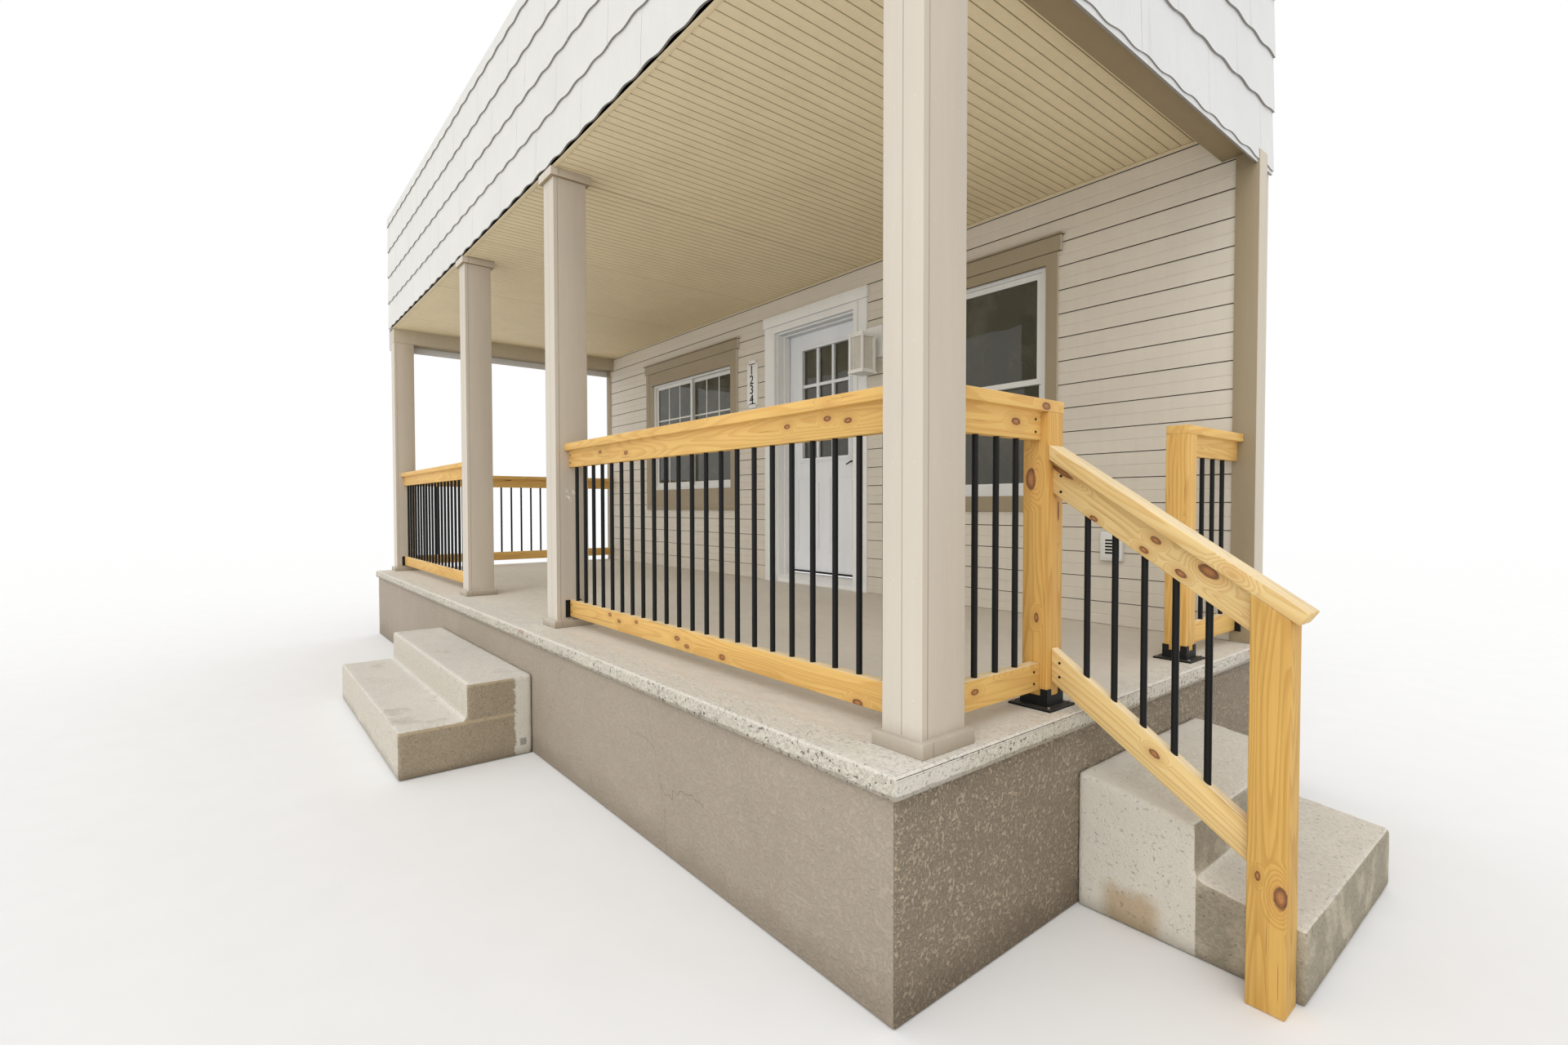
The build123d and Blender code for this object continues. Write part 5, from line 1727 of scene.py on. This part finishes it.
@dataclass
class ScrewHeads:
    """Screw heads of one size."""

    radius: float
    height: float
    slot: str
    sides: int = 10
    rim: float = 0.35
    rim_rise: float = 0.3
    recess: float = 0.25
    recess_drop: float = 0.5

    def head(self) -> Piece:
        """One screw head that faces +Z, raised inside its rim, with a round recess."""
        clear_selection()
        size = {"vertices": self.sides, "radius": self.radius, "depth": self.height}
        bpy.ops.mesh.primitive_cylinder_add(**size, location=(0, 0, self.height / 2))
        head = settle(bpy.context.object)
        edit(head)
        bpy.ops.mesh.select_all(action="DESELECT")
        bpy.ops.mesh.select_mode(type="FACE")
        bpy.ops.object.mode_set(mode="OBJECT")
        for face in head.data.polygons:
            face.select = face.normal.z > 0.9
        bpy.ops.object.mode_set(mode="EDIT")
        bpy.ops.mesh.inset(thickness=self.radius * self.rim, depth=self.height * self.rim_rise)
        bpy.ops.mesh.inset(thickness=self.radius * self.recess, depth=-self.height * self.recess_drop)
        bpy.ops.object.mode_set(mode="OBJECT")
        return head

    def make(self, name: str, spots: list[tuple[Point, Point]], material: Material) -> None:
        """Put heads at the given places.

        Args:
            name: the piece's name.
            spots: each head's place and the way that it faces.
            material: its finish.
        """
        head = self.head()
        heads = [copy_to(head, Matrix.Translation(place) @ facing(way)) for place, way in spots]
        bpy.data.objects.remove(head)
        dress(joined(name, heads), material)


@dataclass
class Screws:
    """Where the screws go."""

    rail_face: float = -0.848
    rail_ends: tuple[float, float] = (0.675, 2.985)
    side_face: float = 3.093
    side_ends: tuple[float, float] = (-0.70, -0.31)
    rail_heights: tuple[float, ...] = (1.525, 1.565, 0.722, 0.76)
    stair_face: float = -0.251
    stair_end: float = 3.147
    stair_heights: tuple[float, ...] = (1.385, 1.335, 0.79, 0.745)
    plate_top: float = 0.008
    plate_inset: float = 0.012

    def rail_spots(self) -> list[tuple[Point, Point]]:
        """Pairs of heads where rails meet posts and columns."""
        spots = []
        for z in self.rail_heights:
            spots += [((x, self.rail_face, z), (0, -1, 0)) for x in self.rail_ends]
            spots += [((self.side_face, y, z), (1, 0, 0)) for y in self.side_ends]
        return spots + [((self.stair_end, self.stair_face, z), (0, -1, 0)) for z in self.stair_heights]

    def base_spots(self) -> list[tuple[Point, Point]]:
        """Four heads on the plate of each post base."""
        spots = []
        for base in ("post_base_front", "post_base_rear"):
            low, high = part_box(base)
            for x in (low.x + self.plate_inset, high.x - self.plate_inset):
                for y in (low.y + self.plate_inset, high.y - self.plate_inset):
                    spots.append(((x, y, low.z + self.plate_top), (0, 0, 1)))
        return spots

    def make(self, black: Material, steel: Material) -> None:
        """Put the screws in."""
        ScrewHeads(0.0042, 0.0016, "base_black").make("rail_screws", self.rail_spots(), black)
        ScrewHeads(0.0055, 0.004, "hinge_metal").make("base_screws", self.base_spots(), steel)


@dataclass
class DoorLever:
    """Wavy lever on both faces of the door, on a round rose."""

    spindle_x: float = 0.4338
    height: float = 1.631
    reach: float = 0.112
    # Radius, depth and distance from the face of the rose and of the neck.
    rounds: tuple[Point, ...] = ((0.033, 0.007, 0.0), (0.012, 0.042, 0.004))
    round_ease: float = 0.0025
    grip_out: float = 0.044
    grip_half: float = 0.005
    grip_rise: float = 0.0085
    grip_past: float = 0.013
    cuts: int = 11
    cut_pitch: float = 0.0105
    taper: float = 0.35
    wave: float = 0.010
    wave_turn: float = 4.6
    hook: float = 0.012
    grip_ease: float = 0.003

    def grip(self, face: float, out: float) -> Piece:
        """Grip that tapers, waves and hooks back to the door."""
        y = face + out * self.grip_out
        low = (self.spindle_x - self.reach, y - self.grip_half, self.height - self.grip_rise)
        high = (self.spindle_x + self.grip_past, y + self.grip_half, self.height + self.grip_rise)
        grip = block("grip", low, high)
        for k in range(1, self.cuts + 1):
            cut(grip, (self.spindle_x - self.reach + k * self.cut_pitch, 0, 0), (1, 0, 0), clear=False)
        for vertex in grip.data.vertices:
            along = (self.spindle_x - vertex.co.x) / self.reach
            rise = (vertex.co.z - self.height) * (1.0 - self.taper * along)
            vertex.co.z = self.height + rise + self.wave * math.sin(along * self.wave_turn)
            vertex.co.y -= out * self.hook * along * along
        rounded(grip, self.grip_ease, angle_limit=math.radians(50))
        return modify(grip, "SUBSURF", levels=1, render_levels=1)

    def handle(self, face: float, out: float) -> list[Piece]:
        """Rose, neck and curved grip on one face.

        Args:
            face: the door face's depth.
            out: -1 outside, 1 inside.

        Returns:
            The parts.
        """
        parts = []
        for radius, depth, start in self.rounds:
            clear_selection()
            centre = (self.spindle_x, face + out * (start + depth / 2), self.height)
            size = {"vertices": 32, "radius": radius, "depth": depth}
            bpy.ops.mesh.primitive_cylinder_add(**size, location=centre, rotation=(QUARTER, 0, 0))
            parts.append(rounded(settle(bpy.context.object), self.round_ease))
        return [*parts, self.grip(face, out)]

    def make(self, metal: Material) -> None:
        """Make the lever and let it stand for the plain one."""
        low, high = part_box("door_leaf")
        lever = joined("door_lever_curved", [*self.handle(low.y, -1.0), *self.handle(high.y, 1.0)])
        dress(lever, metal, "door")
        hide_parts("door_lever")


@dataclass
class CastSteps:
    """Concrete steps with blunt, slightly uneven edges."""

    grid: float = 0.011
    uneven: float = 0.003
    coarse: float = 9.0
    fine: float = 42.0
    fine_share: float = 0.6
    swell: float = 0.35
    sink: float = 0.5
    smooth: float = 60.0

    def cast(self, frame: dict, name: str, nodes: tuple[str, ...], material: Material) -> None:
        """Melt nodes into one rough block that stands for them.

        Args:
            name: the piece's name.
            nodes: the nodes that it stands for.
            material: its finish.
        """
        copies = []
        for node in nodes:
            copies.append(node_copy(frame, node, node + "_copy"))
            bpy.ops.object.mode_set(mode="OBJECT")
        step = joined(name, copies)
        modify(step, "REMESH", mode="VOXEL", voxel_size=self.grid)
        low, high = corners([vertex.co for vertex in step.data.vertices])
        outward = [vertex.normal.copy() for vertex in step.data.vertices]
        for vertex, normal in zip(step.data.vertices, outward):
            rough = noise.fractal(vertex.co * self.coarse, 1.0, 2.0, 4)
            rough += self.fine_share * noise.fractal(vertex.co * self.fine, 1.0, 2.0, 3)
            moved = vertex.co + normal * (self.uneven * (self.swell * rough - self.sink))
            vertex.co = Vector([min(max(moved[i], low[i]), high[i]) for i in range(3)])
        modify(step, "SMOOTH", factor=0.5, iterations=2)
        dress(step, material, smooth=self.smooth)
        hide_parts(*nodes)

    def make(self, frame: dict, material: Material) -> None:
        """Cast the front steps, and the side steps in one."""
        self.cast(frame, "front_steps_cast", ("front_steps",), material)
        self.cast(frame, "side_steps_cast", ("side_step_block", "side_step_slab"), material)


@dataclass
class EasedNodes:
    """Carried-over nodes that are shown with eased edges: names, bevel and slot."""

    rows: tuple[tuple[str, float, str], ...]

    def make(self, frame: dict, made: dict[str, Material]) -> None:
        """Ease each node in turn."""
        for names, width, slot in self.rows:
            for node in names.split():
                eased(frame, node, width, made[slot])


COLUMN_NODES = "column_far_left column_stair_left column_stair_right column_corner"
COLUMN_EDGES = ((COLUMN_NODES, 0.002, "column_paint"),)
OTHER_EDGES = (
    ("porch_slab", 0.006, "slab"),
    ("foundation_wall", 0.009, "masonry"),
    ("corner_board_left corner_board_right window_left_trim window_right_trim", 0.002, "trim_taupe"),
    ("door_casing", 0.0018, "trim_white"),
    ("side_beam_left side_beam_right", 0.003, "beam_paint"),
)


@dataclass(frozen=True)
class Viewpoint:
    """Where the photograph was taken from, and its lens."""

    place: Point = (4.30933, -2.3254, 1.29231)
    turn: float = 50.89
    tilt: float = -1.37
    roll: float = -0.09
    focal_share: float = 854.64 / 1920
    sensor: float = 36.0
    clip: tuple[float, float] = (0.05, 400.0)

    def make(self) -> Piece:
        """Make the scene's camera."""
        data = bpy.data.cameras.new("viewpoint")
        data.sensor_width = self.sensor
        data.lens = self.sensor * self.focal_share
        data.clip_start, data.clip_end = self.clip
        camera = bpy.data.objects.new("viewpoint", data)
        bpy.context.scene.collection.objects.link(camera)
        upright = Matrix.Rotation(math.radians(90.0 + self.tilt), 4, "X")
        turned = Matrix.Rotation(math.radians(self.turn), 4, "Z")
        rolled = Matrix.Rotation(math.radians(self.roll), 4, "Z")
        camera.matrix_world = Matrix.Translation(self.place) @ turned @ upright @ rolled
        bpy.context.scene.camera = camera
        return camera


@dataclass
class Dressing:
    """Which finish each carried-over node gets."""

    columns: tuple[float, ...] = (-3.6862, -1.1122, 0.5818, 3.0738)
    column_front: float = -0.919
    side_seam_in: float = 0.0225
    scuff: Point = (0.6518, -0.83, 1.36)
    deck: float = 0.64
    ceiling_seam: float = 1.786
    ceiling_board: float = 1.22
    nodes: tuple[tuple[str, str], ...] = (
        ("masonry", "foundation_wall"),
        ("slab", "porch_slab"),
        ("steps", "front_steps side_step_slab side_step_block"),
        ("column_paint", COLUMN_NODES),
        ("beam_paint", "side_beam_left side_beam_right"),
        ("ceiling_board", "porch_ceiling"),
        ("floor_timber", "upper_floor"),
        ("shingles", "upper_wall_front upper_wall_left upper_wall_right"),
        ("siding", "wall_left wall_right wall_over_door"),
        ("trim_taupe", "corner_board_left corner_board_right window_left_trim window_right_trim"),
        ("trim_white", "door_frame door_casing lantern_block"),
        ("door_white", "door_leaf"),
        ("glass", "door_glass window_left_glass window_right_glass"),
        ("ribbed", "lantern_glass"),
        ("lever_metal", "door_lever"),
        ("hinge_metal", "door_hinge_pins door_hinge_leaves"),
        ("vinyl_white", "window_left_frame window_right_frame"),
        ("lantern_white", "wall_lantern"),
        ("pine", "railing_front_right railing_front_left"),
        ("pine", "railing_side_left railing_side_front railing_side_rear"),
        ("pine", "post_front post_rear stair_rail newel_post"),
        ("baluster_black", "balusters_front_right balusters_front_left balusters_side_left"),
        ("baluster_black", "balusters_side_front balusters_side_rear stair_balusters"),
        ("base_black", "post_base_front post_base_rear rail_brackets"),
    )

    def boards(self) -> dict[str, Finish]:
        """Painted finishes whose tones for faces ahead, sideways and downwards paint light and shade on them,
        by slot.
        """
        rows = {
            # Each row: name, then the tones for faces ahead, sideways and looking down, which paint light and
            # shade, and further settings.
            "beam_paint": ("beam_paint", (200, 190, 172), (186, 174, 152), (146, 128, 96), {}),
            "floor_timber": ("floor_timber", (170, 140, 100), (165, 135, 96), (160, 130, 92), {}),
            "trim_taupe": ("taupe_trim", (156, 141, 114), (200, 190, 172), (112, 98, 76), {}),
            "trim_white": ("white_trim", (240, 240, 238), (236, 236, 234), (200, 202, 204), {"nails": False}),
            # On the ceiling the rib sides take the darker tones, painted shade between the ribs.
            "ceiling_board": (
                "ceiling_paint",
                (190, 176, 140),
                (186, 172, 136),
                (228, 211, 174),
                {"seams": self.ceiling_seams(), "seam_half": 0.0035, "nails": False, "gloss": 0.55},
            ),
            # The dark downward tone paints the shadow lines under the laps and in the groove.
            "siding": (
                "siding_paint",
                (216, 208, 194),
                (206, 196, 180),
                (70, 62, 52),
                {"nails": False, "chips": 0.45, "level": True},
            ),
            "door_white": (
                "door_paint",
                (238, 241, 245),
                (234, 238, 242),
                (205, 208, 212),
                {"nails": False, "chips": 0.05, "gloss": 0.35},
            ),
            "vinyl_white": (
                "white_vinyl",
                (226, 226, 222),
                (214, 214, 210),
                (190, 190, 186),
                {"nails": False, "chips": 0.1, "gloss": 0.4},
            ),
            "lantern_white": (
                "lantern_paint",
                (246, 245, 240),
                (240, 240, 236),
                (196, 196, 190),
                {"nails": False, "gloss": 0.35},
            ),
        }
        return {
            slot: PaintedBoard(name, shade(*ahead), shade(*side), shade(*under), **more)
            for slot, (name, ahead, side, under, more) in rows.items()
        }

    def ceiling_seams(self) -> tuple[float, ...]:
        """Where the ceiling's boards meet, one board's width apart."""
        return tuple(self.ceiling_seam - self.ceiling_board * k for k in range(-1, 5))

    def finishes(self) -> dict[str, Finish]:
        """A finish for each of the record's material slots."""
        side_seam = self.column_front + self.side_seam_in
        bronze = {"metallic": 0.8, "gloss": 0.32, "wear": 0.4, "shine": 0.5}
        return self.boards() | {
            "masonry": Stucco(),
            "slab": SlabConcrete(),
            "steps": StepConcrete(),
            "column_paint": PaintedBoard(
                "column_paint", seams=self.columns, side_seam=side_seam, scuff=self.scuff, foot=self.deck
            ),
            "shingles": ShinglePaint(),
            "glass": PaneGlass(),
            "ribbed": PaneGlass("ribbed_glass", shade(242, 238, 226), clear=0.1, ribs=36.0),
            "lever_metal": SatinMetal("lever_bronze", shade(52, 46, 42), shade(140, 116, 88), **bronze),
            "hinge_metal": SatinMetal(
                "hinge_steel", shade(150, 148, 142), shade(100, 84, 66), metallic=0.9, gloss=0.38, wear=0.3
            ),
            "pine": Pine(),
            "baluster_black": SatinMetal(),
            "base_black": SatinMetal("base_black", shade(20, 21, 22), gloss=0.5, wear=0.3),
        }

    def make(self, frame: dict) -> dict[str, Material]:
        """Make the finishes and put them on the nodes.


        Returns:
            The materials by slot.
        """
        made = {slot: finish.make() for slot, finish in self.finishes().items()}
        for slot, names in self.nodes:
            for name in names.split():
                node = frame["nodes"][name]
                if not node.material_slots:
                    node.data.materials.append(made[slot])
                for holder in node.material_slots:
                    holder.link = "OBJECT"
                    holder.material = made[slot]
                log.info("%s: %s", name, slot)
        return made


def main() -> None:
    """Build the scene piece by piece."""
    logging.basicConfig(level=logging.INFO, format="%(message)s")
    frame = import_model()
    Viewpoint().make()
    made = Dressing().make(frame)
    Siding().make(made["siding"])
    Shingles().make(made["shingles"])
    BeadedCeiling().make(made["ceiling_board"])
    Grids().make(frame, made["door_white"], made["vinyl_white"])
    fittings = WallFittings()
    fittings.make_plaque(made["trim_white"], made["baluster_black"])
    fittings.make_outlet(made["vinyl_white"], made["base_black"])
    fittings.make_sweep(made["baluster_black"])
    DoorLever().make(made["lever_metal"])
    Railings().make(frame)
    Screws().make(made["base_black"], made["hinge_metal"])
    EasedNodes(COLUMN_EDGES).make(frame, made)
    CastSteps().make(frame, made["steps"])
    EasedNodes(OTHER_EDGES).make(frame, made)
    Studio().make()


if __name__ == "__main__":
    main()
